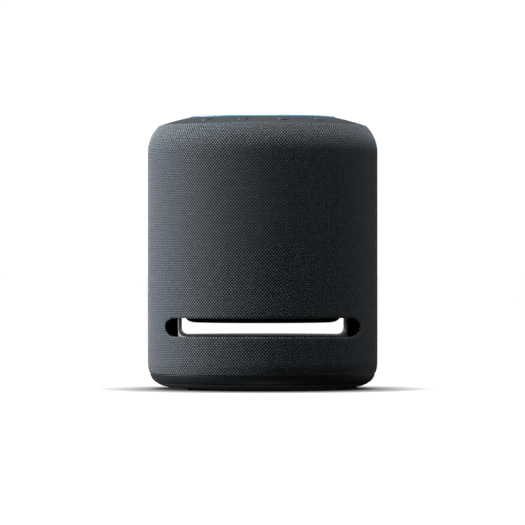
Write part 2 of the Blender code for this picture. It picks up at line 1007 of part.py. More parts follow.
def build_foot(name, middle):
    """A rubber arc under the rim, its middle at that angle from +X."""
    outer_radius, inner_radius, half, steps = 0.0745, 0.0690, 13.5, 5
    start, end = middle - half, middle + half
    outline = arc((0, 0), outer_radius, start, end, steps)
    outline += arc((0, 0), inner_radius, end, start, steps)
    foot = prism(name, outline, FOOT_HEIGHT, RUBBER, housing)
    foot.location = (0, 0, FOOT_HEIGHT / 2)


spread = 62.5
build_foot("foot_front_left", -90 - spread)
build_foot("foot_front_right", -90 + spread)
build_foot("foot_rear_right", 90 - spread)
build_foot("foot_rear_left", 90 + spread)

# ---------------------------------------------------------------- connectors at the back


def upright(name, outline, near, far, x, material=None):
    """An outline standing at the back, from one depth to another."""
    piece = prism(name, outline, far - near, material, housing if material else None)
    return place(piece, (x, (near + far) / 2, PANEL_Z), LIE_ALONG_Y)


def build_connectors():
    """The recessed panel with its mains inlet, audio jack and service port."""
    clear, rim, plate = GAP, 0.0015, 0.0023
    back = PANEL_FACE_Y - plate
    width, height = RECESS_WIDTH - 2 * clear, RECESS_HEIGHT - 2 * clear
    far = BODY_RADIUS + 0.005
    panel = upright(
        "connector_panel", rounded_rectangle(width, height, 0.0037), back, far, 0, BLACK
    )
    drum = cylinder("panel_trim", BODY_RADIUS - GAP, 0.1, (0, 0, PANEL_Z), 2 * LARGE)
    boolean(panel, drum, "INTERSECT")
    hollow = rounded_rectangle(width - 2 * rim, height - 2 * rim, 0.0024)
    cut(panel, upright("panel_hollow", hollow, PANEL_FACE_Y, far + 0.01, 0))

    inlet_x, inlet_width, inlet_height = -0.0130, 0.0200, 0.0104
    near, face = 0.0610, 0.0784
    outline = rounded_rectangle(inlet_width, inlet_height, 0.0045)
    inlet = upright("power_inlet", outline, near, face, inlet_x, BLACK)
    cavity = rounded_rectangle(0.0168, 0.0082, 0.0038)
    cavity_back = 0.0664
    cut(inlet, upright("inlet_cavity", cavity, cavity_back, face + 0.01, inlet_x))
    hole = rounded_rectangle(inlet_width + 2 * clear, inlet_height + 2 * clear, 0.0048)
    cut(panel, upright("inlet_hole", hole, back - 0.01, far, inlet_x))
    pin_spacing, pin_radius, pin_tip = 0.0086, 0.0012, 0.0764
    for side, offset in (("left", -pin_spacing / 2), ("right", pin_spacing / 2)):
        start = cavity_back + GAP
        middle = (inlet_x + offset, (start + pin_tip) / 2, PANEL_Z)
        name = f"inlet_pin_{side}"
        cylinder(name, pin_radius, pin_tip - start, middle, TINY, LIE_ALONG_Y, STEEL, housing)

    jack_x, jack_radius, jack_bore = 0.0060, 0.0040, 0.0018
    jack = cylinder(
        "line_in_jack",
        jack_radius,
        face - near,
        (jack_x, (face + near) / 2, PANEL_Z),
        SMALL,
        LIE_ALONG_Y,
        BLACK,
        housing,
    )
    cut(jack, cylinder("jack_bore", jack_bore, 0.02, (jack_x, face, PANEL_Z), TINY, LIE_ALONG_Y))
    spot = (jack_x, PANEL_FACE_Y, PANEL_Z)
    cut(panel, cylinder("jack_hole", jack_radius + 0.0004, 0.02, spot, SMALL, LIE_ALONG_Y))

    port_x, port_width, port_height, port_wall = 0.0168, 0.0078, 0.0034, 0.0006
    outline = rounded_rectangle(port_width, port_height, 0.0010, 2)
    port = upright("service_port", outline, 0.0700, face, port_x, STEEL)
    mouth = rounded_rectangle(port_width - 2 * port_wall, port_height - 2 * port_wall, 0.0006, 1)
    cut(port, upright("port_mouth", mouth, 0.0725, face + 0.01, port_x))
    hole = rounded_rectangle(port_width + 2 * clear, port_height + 2 * clear, 0.0013, 2)
    cut(panel, upright("port_hole", hole, back - 0.01, far, port_x))


build_connectors()

# ---------------------------------------------------------------- electronics


def build_electronics():
    """Two boards on the posts, the power board with its transformer."""
    width, depth, post_top = 0.0720, 0.0460, 0.0097
    level = post_top + GAP + BOARD / 2
    seat = level + BOARD / 2 + GAP
    middle_y = 0.0270
    box("power_board", (width, depth, BOARD), (0, middle_y, level), BOARD_GREEN, housing)
    box("main_board", (width, depth, BOARD), (0, -middle_y, level), BOARD_GREEN, housing)

    core_height, coil_height = 0.0190, 0.0130
    spot = (-0.0130, middle_y)
    transformer = box(
        "transformer",
        (0.0300, 0.0160, core_height),
        (*spot, seat + core_height / 2),
        FERRITE,
        housing,
    )
    coil = box("coil", (0.0200, 0.0260, coil_height), (*spot, seat + core_height / 2))
    join(transformer, coil)


build_electronics()
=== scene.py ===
# %% [markdown]
# # A knit-covered smart speaker
# The speaker is a drum of 175 mm with a slot right through it. The frame holds its structure as plain
# solids, and this lesson gives each visible piece its real surface: the knit with its rolled hems, the
# satin deck and keys, the glowing ring, the black duct and the moulded base. Every place and size is
# taken from the frame or follows from it.

import math

import bmesh
import bpy
import numpy as np
from mathutils import Matrix, Vector


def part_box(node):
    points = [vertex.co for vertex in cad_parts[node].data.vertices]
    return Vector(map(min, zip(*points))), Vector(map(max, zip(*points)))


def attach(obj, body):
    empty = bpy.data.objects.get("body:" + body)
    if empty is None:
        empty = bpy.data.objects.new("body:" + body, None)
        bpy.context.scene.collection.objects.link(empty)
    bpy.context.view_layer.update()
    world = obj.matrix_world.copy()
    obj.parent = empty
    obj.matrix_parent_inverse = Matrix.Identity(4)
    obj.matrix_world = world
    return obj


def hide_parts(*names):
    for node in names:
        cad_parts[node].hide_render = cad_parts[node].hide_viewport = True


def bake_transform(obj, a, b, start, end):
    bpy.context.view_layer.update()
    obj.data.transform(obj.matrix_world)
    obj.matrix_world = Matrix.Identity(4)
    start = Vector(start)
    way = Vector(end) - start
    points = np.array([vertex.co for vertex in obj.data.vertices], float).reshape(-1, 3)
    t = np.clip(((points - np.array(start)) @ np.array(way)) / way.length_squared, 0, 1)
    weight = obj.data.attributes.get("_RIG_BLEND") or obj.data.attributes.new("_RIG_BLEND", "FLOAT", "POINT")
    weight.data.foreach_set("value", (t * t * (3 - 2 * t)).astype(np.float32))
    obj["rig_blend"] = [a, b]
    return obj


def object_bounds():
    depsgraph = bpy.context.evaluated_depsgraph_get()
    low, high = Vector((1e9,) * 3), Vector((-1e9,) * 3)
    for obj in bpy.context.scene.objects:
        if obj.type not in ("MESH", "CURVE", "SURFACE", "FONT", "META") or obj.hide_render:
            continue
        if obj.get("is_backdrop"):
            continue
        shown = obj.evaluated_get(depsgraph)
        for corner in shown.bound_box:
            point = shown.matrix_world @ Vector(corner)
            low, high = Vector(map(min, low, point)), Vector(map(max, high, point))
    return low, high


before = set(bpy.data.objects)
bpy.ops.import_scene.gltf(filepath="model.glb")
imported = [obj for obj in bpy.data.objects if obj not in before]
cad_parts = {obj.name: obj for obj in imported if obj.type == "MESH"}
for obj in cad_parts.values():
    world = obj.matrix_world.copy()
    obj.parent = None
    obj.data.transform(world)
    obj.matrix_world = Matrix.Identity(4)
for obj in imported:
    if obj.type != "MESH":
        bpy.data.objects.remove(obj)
cad_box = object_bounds()
MM = 0.001
body_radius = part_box("fabric_cover")[1].x
print("the drum is", round(2 * body_radius / MM), "mm wide and", round(cad_box[1].z / MM), "mm high")

# %% [markdown]
# ## Small tools for meshes
# A finished piece is a mesh whose points are already in place, so that its object can stay at the
# origin. One helper makes such a piece, gives it a material and lets it ride on a body of the frame.

# %% A piece from points and faces
HOUSING = "housing"


def weld(bm):
    """Joins points that coincide and turns every face outward."""
    bmesh.ops.remove_doubles(bm, verts=bm.verts, dist=0.002 * MM)
    bmesh.ops.recalc_face_normals(bm, faces=bm.faces)


def shade(mesh, sharp_angle=35):
    mesh.shade_smooth()
    mesh.set_sharp_from_angle(angle=math.radians(sharp_angle))


def piece(name, mesh, material, body=HOUSING, replaces=()):
    """A finished piece that rides on a body and may stand for nodes of the frame."""
    mesh.name = name
    obj = bpy.data.objects.new(name, mesh)
    bpy.context.scene.collection.objects.link(obj)
    mesh.materials.clear()
    mesh.materials.append(material)
    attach(obj, body)
    if replaces:
        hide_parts(*replaces)
    print(name, len(mesh.polygons), "faces")
    return obj


def mesh_of(bm, sharp_angle=35):
    mesh = bpy.data.meshes.new("made")
    bm.to_mesh(mesh)
    bm.free()
    shade(mesh, sharp_angle)
    return mesh


# %% [markdown]
# ### Rounded sections
# A lathe turns a flat section into a round piece. Real mouldings have no knife edges, so each corner of
# a section is given as a point and a radius, and an arc is fitted into it. It catches a thin highlight,
# as a real edge does.

# %% Rounding the corners of a section


def rounded(corners, closed=True, steps=4):
    """Points along a section whose corners (x, y, radius) are replaced with arcs."""
    points = []
    count = len(corners)
    for i, (x, y, radius) in enumerate(corners):
        here = Vector((x, y))
        end = not closed and i in (0, count - 1)
        before, after = corners[i - 1], corners[(i + 1) % count]
        back, on = Vector(before[:2]) - here, Vector(after[:2]) - here
        if radius <= 0 or end:
            points.append(tuple(here))
            continue
        bend = math.pi - back.angle(on)
        if bend < 0.02:
            points.append(tuple(here))
            continue
        reach = min(radius * math.tan(bend / 2), 0.49 * back.length, 0.49 * on.length)
        start, finish = here + back.normalized() * reach, here + on.normalized() * reach
        for k in range(steps + 1):
            t = k / steps
            points.append(tuple((1 - t) ** 2 * start + 2 * t * (1 - t) * here + t**2 * finish))
    return points


# %% A lathe


def turned(section, segments=192, centre=(0.0, 0.0), sharp_angle=35):
    """A round piece from (radius, height) points. A section that starts on the axis ends on it."""
    bm = bmesh.new()
    capped = section[0][0] < 0.001 * MM
    angles = [math.tau * k / segments for k in range(segments)]
    rings = []
    for radius, height in section:
        if radius < 0.001 * MM:
            pole = bm.verts.new((centre[0], centre[1], height))
            rings.append([pole] * segments)
            continue
        rings.append(
            [
                bm.verts.new(
                    (centre[0] + radius * math.cos(a), centre[1] + radius * math.sin(a), height)
                )
                for a in angles
            ]
        )
    pairs = list(zip(rings, rings[1:]))
    if not capped:
        pairs.append((rings[-1], rings[0]))
    for upper, lower in pairs:
        for k in range(segments):
            n = (k + 1) % segments
            corners = (upper[k], lower[k], lower[n], upper[n])
            distinct = [v for j, v in enumerate(corners) if v not in corners[:j]]
            if len(distinct) > 2:
                bm.faces.new(distinct)
    weld(bm)
    return mesh_of(bm, sharp_angle)


print("a rounded square has", len(rounded([(0, 0, 1), (4, 0, 1), (4, 4, 1), (0, 4, 1)])), "points")

# %% [markdown]
# ### Carving
# Boolean operations carve one mesh with others. Doing it on a throwaway object and keeping only the
# resulting mesh leaves no live modifier behind.

# %% Carving and softening a mesh


def evaluated(mesh, *modifiers):
    """The mesh after some modifiers, given as (type, {setting: value})."""
    obj = bpy.data.objects.new("bench", mesh)
    bpy.context.scene.collection.objects.link(obj)
    for kind, settings in modifiers:
        modifier = obj.modifiers.new(kind, kind)
        for key, value in settings.items():
            setattr(modifier, key, value)
    graph = bpy.context.evaluated_depsgraph_get()
    result = bpy.data.meshes.new_from_object(obj.evaluated_get(graph))
    bpy.data.objects.remove(obj)
    return result


def combined(mesh, tools, operation="DIFFERENCE"):
    """The mesh with every tool mesh cut away from it, or joined to it."""
    for tool in tools:
        helper = bpy.data.objects.new("tool", tool)
        bpy.context.scene.collection.objects.link(helper)
        mesh = evaluated(
            mesh, ("BOOLEAN", {"operation": operation, "object": helper, "solver": "EXACT"})
        )
        bpy.data.objects.remove(helper)
    return mesh


def softened(mesh, width, segments=3, angle=35):
    """The mesh with its sharp edges rounded."""
    bm = bmesh.new()
    bm.from_mesh(mesh)
    weld(bm)
    bmesh.ops.dissolve_limit(
        bm, angle_limit=math.radians(1), verts=bm.verts, edges=bm.edges, delimit={"NORMAL"}
    )
    bm.to_mesh(mesh)
    bm.free()
    bevel = {
        "width": width,
        "segments": segments,
        "limit_method": "ANGLE",
        "angle_limit": math.radians(angle),
        "harden_normals": False,
    }
    result = evaluated(mesh, ("BEVEL", bevel))
    shade(result, 40)
    return result


def cylinder(radius, low, high, axis="Z", centre=(0, 0), segments=64):
    """A plain round bar; centre is its place across the axis."""
    bm = bmesh.new()
    bmesh.ops.create_cone(
        bm, cap_ends=True, segments=segments, radius1=radius, radius2=radius, depth=high - low
    )
    bmesh.ops.translate(bm, verts=bm.verts, vec=(0, 0, (low + high) / 2))
    if axis == "Z":
        bmesh.ops.translate(bm, verts=bm.verts, vec=(centre[0], centre[1], 0))
    else:
        bmesh.ops.rotate(bm, verts=bm.verts, matrix=Matrix.Rotation(-math.pi / 2, 3, "X"))
        bmesh.ops.translate(bm, verts=bm.verts, vec=(centre[0], 0, centre[1]))
    return mesh_of(bm)


def bar(outline, low, high, axis="Y"):
    """An outline, in XZ or XY, drawn out from low to high along Y or Z."""
    bm = bmesh.new()
    spot = (lambda p, t: (p[0], t, p[1])) if axis == "Y" else (lambda p, t: (p[0], p[1], t))
    first = [bm.verts.new(spot(p, low)) for p in outline]
    last = [bm.verts.new(spot(p, high)) for p in outline]
    bm.faces.new(first)
    bm.faces.new(last)
    for k in range(len(outline)):
        n = (k + 1) % len(outline)
        bm.faces.new((first[k], first[n], last[n], last[k]))
    weld(bm)
    return mesh_of(bm)


def round_box(x, z, half_width, half_height, corner, steps=8):
    """Outline of a rectangle with round corners."""
    signs = ((1, 1), (-1, 1), (-1, -1), (1, -1))
    corners = [(x + sx * half_width, z + sz * half_height, corner) for sx, sz in signs]
    return rounded(corners, steps=steps)


print("carving tools ready")

# %% [markdown]
# ## Stage: camera, floor and light
# A long lens from far away keeps the drum's sides parallel, as a catalogue picture does. Its height
# decides how much of the sloped deck can be seen, so it stands level, a little below half the drum's
# height.

# %% Camera
camera_data = bpy.data.cameras.new("long_lens")
camera_data.lens = 310
camera_data.sensor_width = 36
camera = bpy.data.objects.new("long_lens", camera_data)
bpy.context.scene.collection.objects.link(camera)
camera.location = (-0.0001, -3.45, 0.0961)
camera.rotation_euler = (math.radians(90), 0, 0)
bpy.context.scene.camera = camera
bpy.context.scene.view_settings.view_transform = "Standard"
print("the camera stands", abs(camera.location.y), "m in front")

# %% [markdown]
# Soft boxes are area lights. A big one at the left gives the bright left edge, a weaker one behind
# gives the right edge, and one overhead lights the deck and the shoulder. A faint one below shows the
# feet. None of them is visible to the camera.

# %% Soft boxes


def soft_box(name, place, size, power, aim=(0, 0, 0.1)):
    light = bpy.data.lights.new(name, "AREA")
    light.shape = "RECTANGLE"
    light.size, light.size_y = size
    light.energy = power
    obj = bpy.data.objects.new(name, light)
    obj.location = place
    toward = Vector(aim) - Vector(place)
    obj.rotation_euler = toward.to_track_quat("-Z", "Y").to_euler()
    obj.visible_camera = False
    bpy.context.scene.collection.objects.link(obj)


soft_box("key_left", (-1.5, 0.08, 0.35), (1.3, 1.2), 53)
soft_box("rim_right", (1.3, 0.9, 0.35), (0.6, 1.2), 3)
soft_box("top_fill", (-0.2, -0.15, 1.7), (1.0, 1.0), 54)
soft_box("under_fill", (0.0, -0.1, -1.5), (0.5, 0.5), 2, (0, 0, 0))
print("four soft boxes")

# %% Node helper


def wire(tree, kind, sockets=None, **settings):
    """A new node; each given socket is linked or set, and the node itself is returned."""
    node = tree.nodes.new(kind)
    for key, value in settings.items():
        setattr(node, key, value)
    for key, value in (sockets or {}).items():
        if isinstance(value, bpy.types.NodeSocket):
            tree.links.new(value, node.inputs[key])
        else:
            node.inputs[key].default_value = value
    return node


def calc(tree, operation, *values):
    """The result of a Math node."""
    return wire(tree, "ShaderNodeMath", dict(enumerate(values)), operation=operation).outputs[0]


def noise(tree, place, scale, detail=2.0, roughness=0.5):
    """The outputs of a Noise node: the value first, then the colour."""
    sockets = {"Vector": place, "Scale": scale, "Detail": detail, "Roughness": roughness}
    return wire(tree, "ShaderNodeTexNoise", sockets).outputs


def mix_colours(tree, share, first, second):
    """A colour between two others; each is a socket or a colour with alpha."""
    sockets = {0: share, 6: first, 7: second}
    return wire(tree, "ShaderNodeMix", sockets, data_type="RGBA").outputs[2]


# %% [markdown]
# The world is white where the camera sees it, dimmer in mirror images, and dimmer still where it only
# lights the drum. The floor is white paper that darkens close to the drum. That contact shadow comes
# from an occlusion tilted backward, so that it falls mostly in front. Seen from below, the floor is
# clear, and it doesn't hold back the light from there.

# %% World and floor
world = bpy.data.worlds.new("studio")
bpy.context.scene.world = world
world.use_nodes = True
sky = world.node_tree
sky.nodes.clear()
rays = wire(sky, "ShaderNodeLightPath").outputs
BACKDROP, MIRRORED, AMBIENT = 1.06, 0.35, 0.035
seen = calc(sky, "MULTIPLY", rays["Is Camera Ray"], BACKDROP)
mirrored = calc(sky, "MULTIPLY", rays["Is Glossy Ray"], MIRRORED)
strength = calc(sky, "ADD", calc(sky, "ADD", seen, mirrored), AMBIENT)
glow = wire(sky, "ShaderNodeBackground", {"Color": (1, 1, 1, 1), "Strength": strength})
wire(sky, "ShaderNodeOutputWorld", {"Surface": glow.outputs[0]})


def floor_material():
    """White paper that looks lit to the camera and still takes a contact shadow."""
    material = bpy.data.materials.new("white_paper")
    material.use_nodes = True
    tree = material.node_tree
    shader = tree.nodes["Principled BSDF"]
    shader.inputs["Base Color"].default_value = (0.08, 0.08, 0.08, 1)
    shader.inputs["Roughness"].default_value = 0.9
    shader.inputs["Specular IOR Level"].default_value = 0.0
    shader.inputs["Emission Color"].default_value = (1, 1, 1, 1)
    seen = wire(tree, "ShaderNodeLightPath").outputs["Is Camera Ray"]
    tilted = wire(tree, "ShaderNodeCombineXYZ", {0: 0.0, 1: 0.6, 2: 0.8}).outputs[0]
    occlusion = wire(tree, "ShaderNodeAmbientOcclusion", {"Distance": 0.055, "Normal": tilted})
    open_sky = occlusion.outputs["AO"]
    contact = calc(tree, "POWER", open_sky, 2.8)
    lift = calc(tree, "MULTIPLY", seen, contact)
    tree.links.new(lift, shader.inputs["Emission Strength"])
    below = wire(tree, "ShaderNodeNewGeometry").outputs["Backfacing"]
    gone = wire(tree, "ShaderNodeBsdfTransparent").outputs[0]
    end = tree.nodes["Material Output"]
    mixed = wire(tree, "ShaderNodeMixShader", {0: below, 1: shader.outputs[0], 2: gone})
    tree.links.new(mixed.outputs[0], end.inputs["Surface"])
    return material


floor_mesh = bpy.data.meshes.new("floor")
floor_mesh.from_pydata([(-30, -30, 0), (30, -30, 0), (30, 30, 0), (-30, 30, 0)], [], [(0, 1, 2, 3)])
floor_mesh.materials.append(floor_material())
floor = bpy.data.objects.new("floor", floor_mesh)
bpy.context.scene.collection.objects.link(floor)
floor.visible_shadow = False
floor.visible_diffuse = False
floor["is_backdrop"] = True
print("the floor is white paper")

# %% [markdown]
# ## Shared finishes as node groups
# The same effect, such as a weave or the grain of a moulding, appears in many materials. As a node
# group it is built once, and each material gives it its own sizes. A group hands out only numbers; the
# shader stays in the material.

# %% Making a group


def group_of(name, inputs, outputs):
    """A shader node group with float or vector inputs and float outputs, and its two end nodes."""
    group = bpy.data.node_groups.new(name, "ShaderNodeTree")
    for label, value in inputs.items():
        kind = "NodeSocketVector" if value is None else "NodeSocketFloat"
        socket = group.interface.new_socket(label, in_out="INPUT", socket_type=kind)
        if value is not None:
            socket.default_value = value
    for label in outputs:
        group.interface.new_socket(label, in_out="OUTPUT", socket_type="NodeSocketFloat")
    return group, group.nodes.new("NodeGroupInput").outputs, group.nodes.new("NodeGroupOutput").inputs


# %% [markdown]
# ### The knit
# The knit is a lattice: bright yarn bumps and dark pinholes alternate along each row, and each row is
# shifted by half a stitch. A product of two cosines has exactly these hills and pits. Noise makes the
# yarn uneven, and a second, finer wave adds the twist of its fibres.

# %% Group: yarn weave
weave, given, result = group_of(
    "yarn_weave",
    {"Place": None, "Stitch Width": 0.0023, "Stitch Height": 0.0026, "Unevenness": 0.2},
    ("Yarn", "Melange", "Height"),
)
jitter = noise(weave, given["Place"], 420.0, 1.0)["Color"]
centred = wire(
    weave, "ShaderNodeVectorMath", {0: jitter, 1: (0.5, 0.5, 0.5)}, operation="SUBTRACT"
).outputs[0]
amount = calc(weave, "MULTIPLY", given["Stitch Width"], given["Unevenness"])
moved = wire(weave, "ShaderNodeVectorMath", {0: centred, "Scale": amount}, operation="SCALE")
place = wire(weave, "ShaderNodeVectorMath", {0: given["Place"], 1: moved.outputs[0]})
split = wire(weave, "ShaderNodeSeparateXYZ", {0: place.outputs[0]}).outputs
along = calc(weave, "MULTIPLY", calc(weave, "DIVIDE", split[0], given["Stitch Width"]), math.tau)
up = calc(weave, "MULTIPLY", calc(weave, "DIVIDE", split[1], given["Stitch Height"]), math.tau)
lattice = calc(weave, "MULTIPLY", calc(weave, "COSINE", along), calc(weave, "COSINE", up))
row_line = calc(weave, "COSINE", calc(weave, "MULTIPLY", up, 2.0))
lean = calc(weave, "SINE", calc(weave, "ADD", along, up))
mixed = calc(weave, "ADD", calc(weave, "MULTIPLY", row_line, 0.22), lattice)
mixed = calc(weave, "ADD", calc(weave, "MULTIPLY", lean, 0.16), mixed)
yarn = wire(
    weave,
    "ShaderNodeMapRange",
    {"Value": mixed, "From Min": -0.28, "From Max": 0.6},
    interpolation_type="SMOOTHSTEP",
).outputs[0]
fibres = noise(weave, place.outputs[0], 2600.0, 3.0, 0.7)[0]
threads = noise(weave, given["Place"], 260.0)[0]
weave.links.new(yarn, result["Yarn"])
weave.links.new(threads, result["Melange"])
weave.links.new(
    calc(weave, "ADD", calc(weave, "MULTIPLY", fibres, 0.25), yarn), result["Height"]
)
print("yarn_weave has", len(weave.nodes), "nodes")

# %% [markdown]
# ### Moulded plastic
# An injection mould is spark-eroded, so satin plastic has a fine pebbled grain. Handling polishes it
# unevenly, which shows as slow changes in gloss, and a little dust settles on faces that look up.

# %% Group: moulded grain
grain, given, result = group_of(
    "moulded_grain",
    {"Place": None, "Grain Size": 0.0005, "Gloss": 0.5, "Gloss Change": 0.08, "Dust": 0.05},
    ("Height", "Roughness", "Dust Mask"),
)
scale = calc(grain, "DIVIDE", 1.0, given["Grain Size"])
pebbles = wire(
    grain, "ShaderNodeTexVoronoi", {"Vector": given["Place"], "Scale": scale}, feature="SMOOTH_F1"
).outputs["Distance"]
fine = noise(grain, given["Place"], scale)[0]
slow = noise(grain, given["Place"], 38.0, 3.0)[0]
grain.links.new(calc(grain, "ADD", pebbles, fine), result["Height"])
swing = calc(grain, "MULTIPLY", calc(grain, "SUBTRACT", slow, 0.5), given["Gloss Change"])
grain.links.new(calc(grain, "ADD", given["Gloss"], swing), result["Roughness"])
facing = wire(
    grain, "ShaderNodeSeparateXYZ", {0: wire(grain, "ShaderNodeNewGeometry").outputs["Normal"]}
).outputs[2]
upward = wire(
    grain, "ShaderNodeMapRange", {"Value": facing, "From Min": 0.5, "From Max": 1.0}
).outputs[0]
specks = noise(grain, given["Place"], 900.0, 4.0)[0]
dusty = calc(grain, "MULTIPLY", calc(grain, "MULTIPLY", upward, specks), given["Dust"])
grain.links.new(dusty, result["Dust Mask"])
print("moulded_grain has", len(grain.nodes), "nodes")

# %% Materials that use the groups


def blank(name):
    """A new material with its tree and its Principled shader."""
    material = bpy.data.materials.new(name)
    material.use_nodes = True
    return material, material.node_tree, material.node_tree.nodes["Principled BSDF"]


def use(tree, group, sockets):
    node = tree.nodes.new("ShaderNodeGroup")
    node.node_tree = group
    for key, value in sockets.items():
        if isinstance(value, bpy.types.NodeSocket):
            tree.links.new(value, node.inputs[key])
        else:
            node.inputs[key].default_value = value
    return node.outputs


def bumped(tree, shader, height, distance, strength=1.0):
    bump = wire(tree, "ShaderNodeBump", {"Height": height, "Distance": distance})
    bump.inputs["Strength"].default_value = strength
    tree.links.new(bump.outputs[0], shader.inputs["Normal"])


def moulded(name, colour, gloss, size=0.0005, dust=0.05, depth=0.00004, metal=0.0, shine=0.5):
    """A satin moulding in one colour, with grain, uneven gloss and a little dust."""
    material, tree, shader = blank(name)
    place = wire(tree, "ShaderNodeTexCoord").outputs["Object"]
    sizes = {"Place": place, "Grain Size": size, "Gloss": gloss, "Gloss Change": 0.1}
    out = use(tree, grain, {**sizes, "Dust": dust})
    patches = noise(tree, place, 60.0)[0]
    darker, lighter = ((*[c * share for c in colour], 1) for share in (0.88, 1.12))
    tone = mix_colours(tree, patches, darker, lighter)
    worn = mix_colours(tree, out["Dust Mask"], tone, (0.30, 0.29, 0.27, 1))
    tree.links.new(worn, shader.inputs["Base Color"])
    tree.links.new(out["Roughness"], shader.inputs["Roughness"])
    shader.inputs["Metallic"].default_value = metal
    shader.inputs["Specular IOR Level"].default_value = shine
    bumped(tree, shader, out["Height"], depth, 0.5)
    return material


def knitted(name, dark, light, width, height, uv_map=None, depth=0.0003, sheen=0.35):
    """A knit whose stitches lie along a UV map, or along Object X and Y."""
    material, tree, shader = blank(name)
    if uv_map:
        place = wire(tree, "ShaderNodeUVMap", uv_map=uv_map).outputs[0]
    else:
        place = wire(tree, "ShaderNodeTexCoord").outputs["Object"]
    out = use(tree, weave, {"Place": place, "Stitch Width": width, "Stitch Height": height})
    uneven = wire(
        tree, "ShaderNodeMapRange", {"Value": out["Melange"], "To Min": 0.55, "To Max": 1.45}
    ).outputs[0]
    mask = calc(tree, "MULTIPLY", out["Yarn"], uneven)
    tone = mix_colours(tree, mask, (*dark, 1), (*light, 1))
    tree.links.new(tone, shader.inputs["Base Color"])
    shader.inputs["Roughness"].default_value = 0.9
    shader.inputs["Specular IOR Level"].default_value = 0.2
    shader.inputs["Sheen Weight"].default_value = sheen
    shader.inputs["Sheen Roughness"].default_value = 0.45
    shader.inputs["Sheen Tint"].default_value = (0.55, 0.62, 0.70, 1)
    bumped(tree, shader, out["Height"], depth, 0.9)
    return material


STITCH_WIDTH = math.tau * body_radius / 240
STITCH_HEIGHT = 2.57 * MM
KNIT = knitted(
    "charcoal_yarn",
    (0.001, 0.0012, 0.0015),
    (0.142, 0.168, 0.190),
    STITCH_WIDTH,
    STITCH_HEIGHT,
    "stitches",
)
TOP_KNIT = knitted("top_yarn", (0.004, 0.0045, 0.005), (0.075, 0.084, 0.092), 1.3 * MM, 1.5 * MM)
DECK = moulded("deck_satin", (0.012, 0.018, 0.021), 0.52, dust=0.01, shine=0.22)
KEY = moulded("key_satin", (0.006, 0.008, 0.009), 0.26, dust=0.0)
BLACK = moulded("black_moulding", (0.009, 0.009, 0.010), 0.50, dust=0.03)
DUCT = moulded("duct_moulding", (0.016, 0.018, 0.020), 0.34, dust=0.03, shine=0.6)
DEEP = moulded("deep_black", (0.003, 0.003, 0.0035), 0.60, dust=0.0, shine=0.1)
# near-black pads: painted shade for the dark ends of the slot
PAINTED_SHADE = moulded(
    "slot_foam", (0.0025, 0.0025, 0.0025), 1.0, size=0.0009, dust=0.0, depth=0.0002, shine=0.0
)
BASE = moulded("base_satin", (0.011, 0.016, 0.018), 0.40, dust=0.02, shine=0.18)
PLATE = moulded("plate_moulding", (0.026, 0.027, 0.029), 0.48, size=0.0007, dust=0.0, shine=0.3)
RUBBER = moulded("foot_rubber", (0.008, 0.008, 0.008), 0.80, size=0.0003, shine=0.2)
PAPER = moulded("cone_paper", (0.020, 0.020, 0.022), 0.82, size=0.0011, depth=0.0001)
SILK = moulded("dome_silk", (0.030, 0.030, 0.032), 0.62, size=0.0004)
SPIDER = moulded("spider_cloth", (0.40, 0.25, 0.10), 0.90, size=0.0007, depth=0.0001)
STEEL = moulded("zinc_steel", (0.52, 0.52, 0.53), 0.36, size=0.0008, metal=1.0, dust=0.0)
FERRITE = moulded("ferrite", (0.055, 0.055, 0.057), 0.60, size=0.0006)
COPPER = moulded("copper_winding", (0.70, 0.30, 0.13), 0.34, metal=1.0, dust=0.0)
BOARD = moulded("circuit_board", (0.018, 0.09, 0.045), 0.42, dust=0.02)
print(len(bpy.data.materials), "materials")

# %% [markdown]
# ## The knit sleeve
# The sleeve is one tube of knit pulled over the shell, with rolled edges at the deck, the base, the
# slot and the connector recess. It could be a smooth solid with a picture of stitches on it, but the
# stitches catch the light, so the outer skin is a fine grid with two columns and two rows for each
# stitch. The openings are cut into that grid, and its edge is drawn onto the opening's outline and
# rolled inward.

# %% The sleeve's section
hem_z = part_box("fabric_cover")[0].z
shoulder_radius = 28.0 * MM
shoulder_centre = Vector((body_radius - shoulder_radius, 180.0 * MM))
opening_angle = math.radians(46.4)
FABRIC = 1.2 * MM
HEM = FABRIC / 2


def sleeve_point(t):
    """The sleeve's outer face at a share t of its section, from the base to the deck."""
    low, straight_end = hem_z + HEM, 21 * MM
    side = shoulder_centre.y - low
    length = side + shoulder_radius * opening_angle
    run = t * length
    if run < side:
        z = low + run
        pull = max(0.0, (straight_end - z) / (straight_end - hem_z))
        return body_radius - 1.3 * MM * pull**2, z
    angle = (run - side) / shoulder_radius
    return (
        shoulder_centre.x + shoulder_radius * math.cos(angle),
        shoulder_centre.y + shoulder_radius * math.sin(angle),
    )


def section_length(samples=400):
    line = [Vector(sleeve_point(i / samples)) for i in range(samples + 1)]
    return sum((b - a).length for a, b in zip(line, line[1:]))


sleeve_length = section_length()
sleeve_rows = round(sleeve_length / (STITCH_HEIGHT / 2))
print("the sleeve has 240 stitches around and", sleeve_rows // 2, "rows of them")

# %% [markdown]
# Each opening is a rectangle with round corners, seen from the front. Its signed distance says how far
# a point lies outside it. That one number decides which faces go, where the edge is drawn to, and how
# the roll is shaped.

# %% Openings in the sleeve
slot_box = {"z": 47.35 * MM, "half": (73.0 * MM, 7.05 * MM), "corner": 7.05 * MM}
recess_box = {"z": 25.0 * MM, "half": (27.0 * MM, 8.5 * MM), "corner": 4.0 * MM}
OPENINGS = (("front", -1, slot_box), ("back", 1, slot_box), ("recess", 1, recess_box))


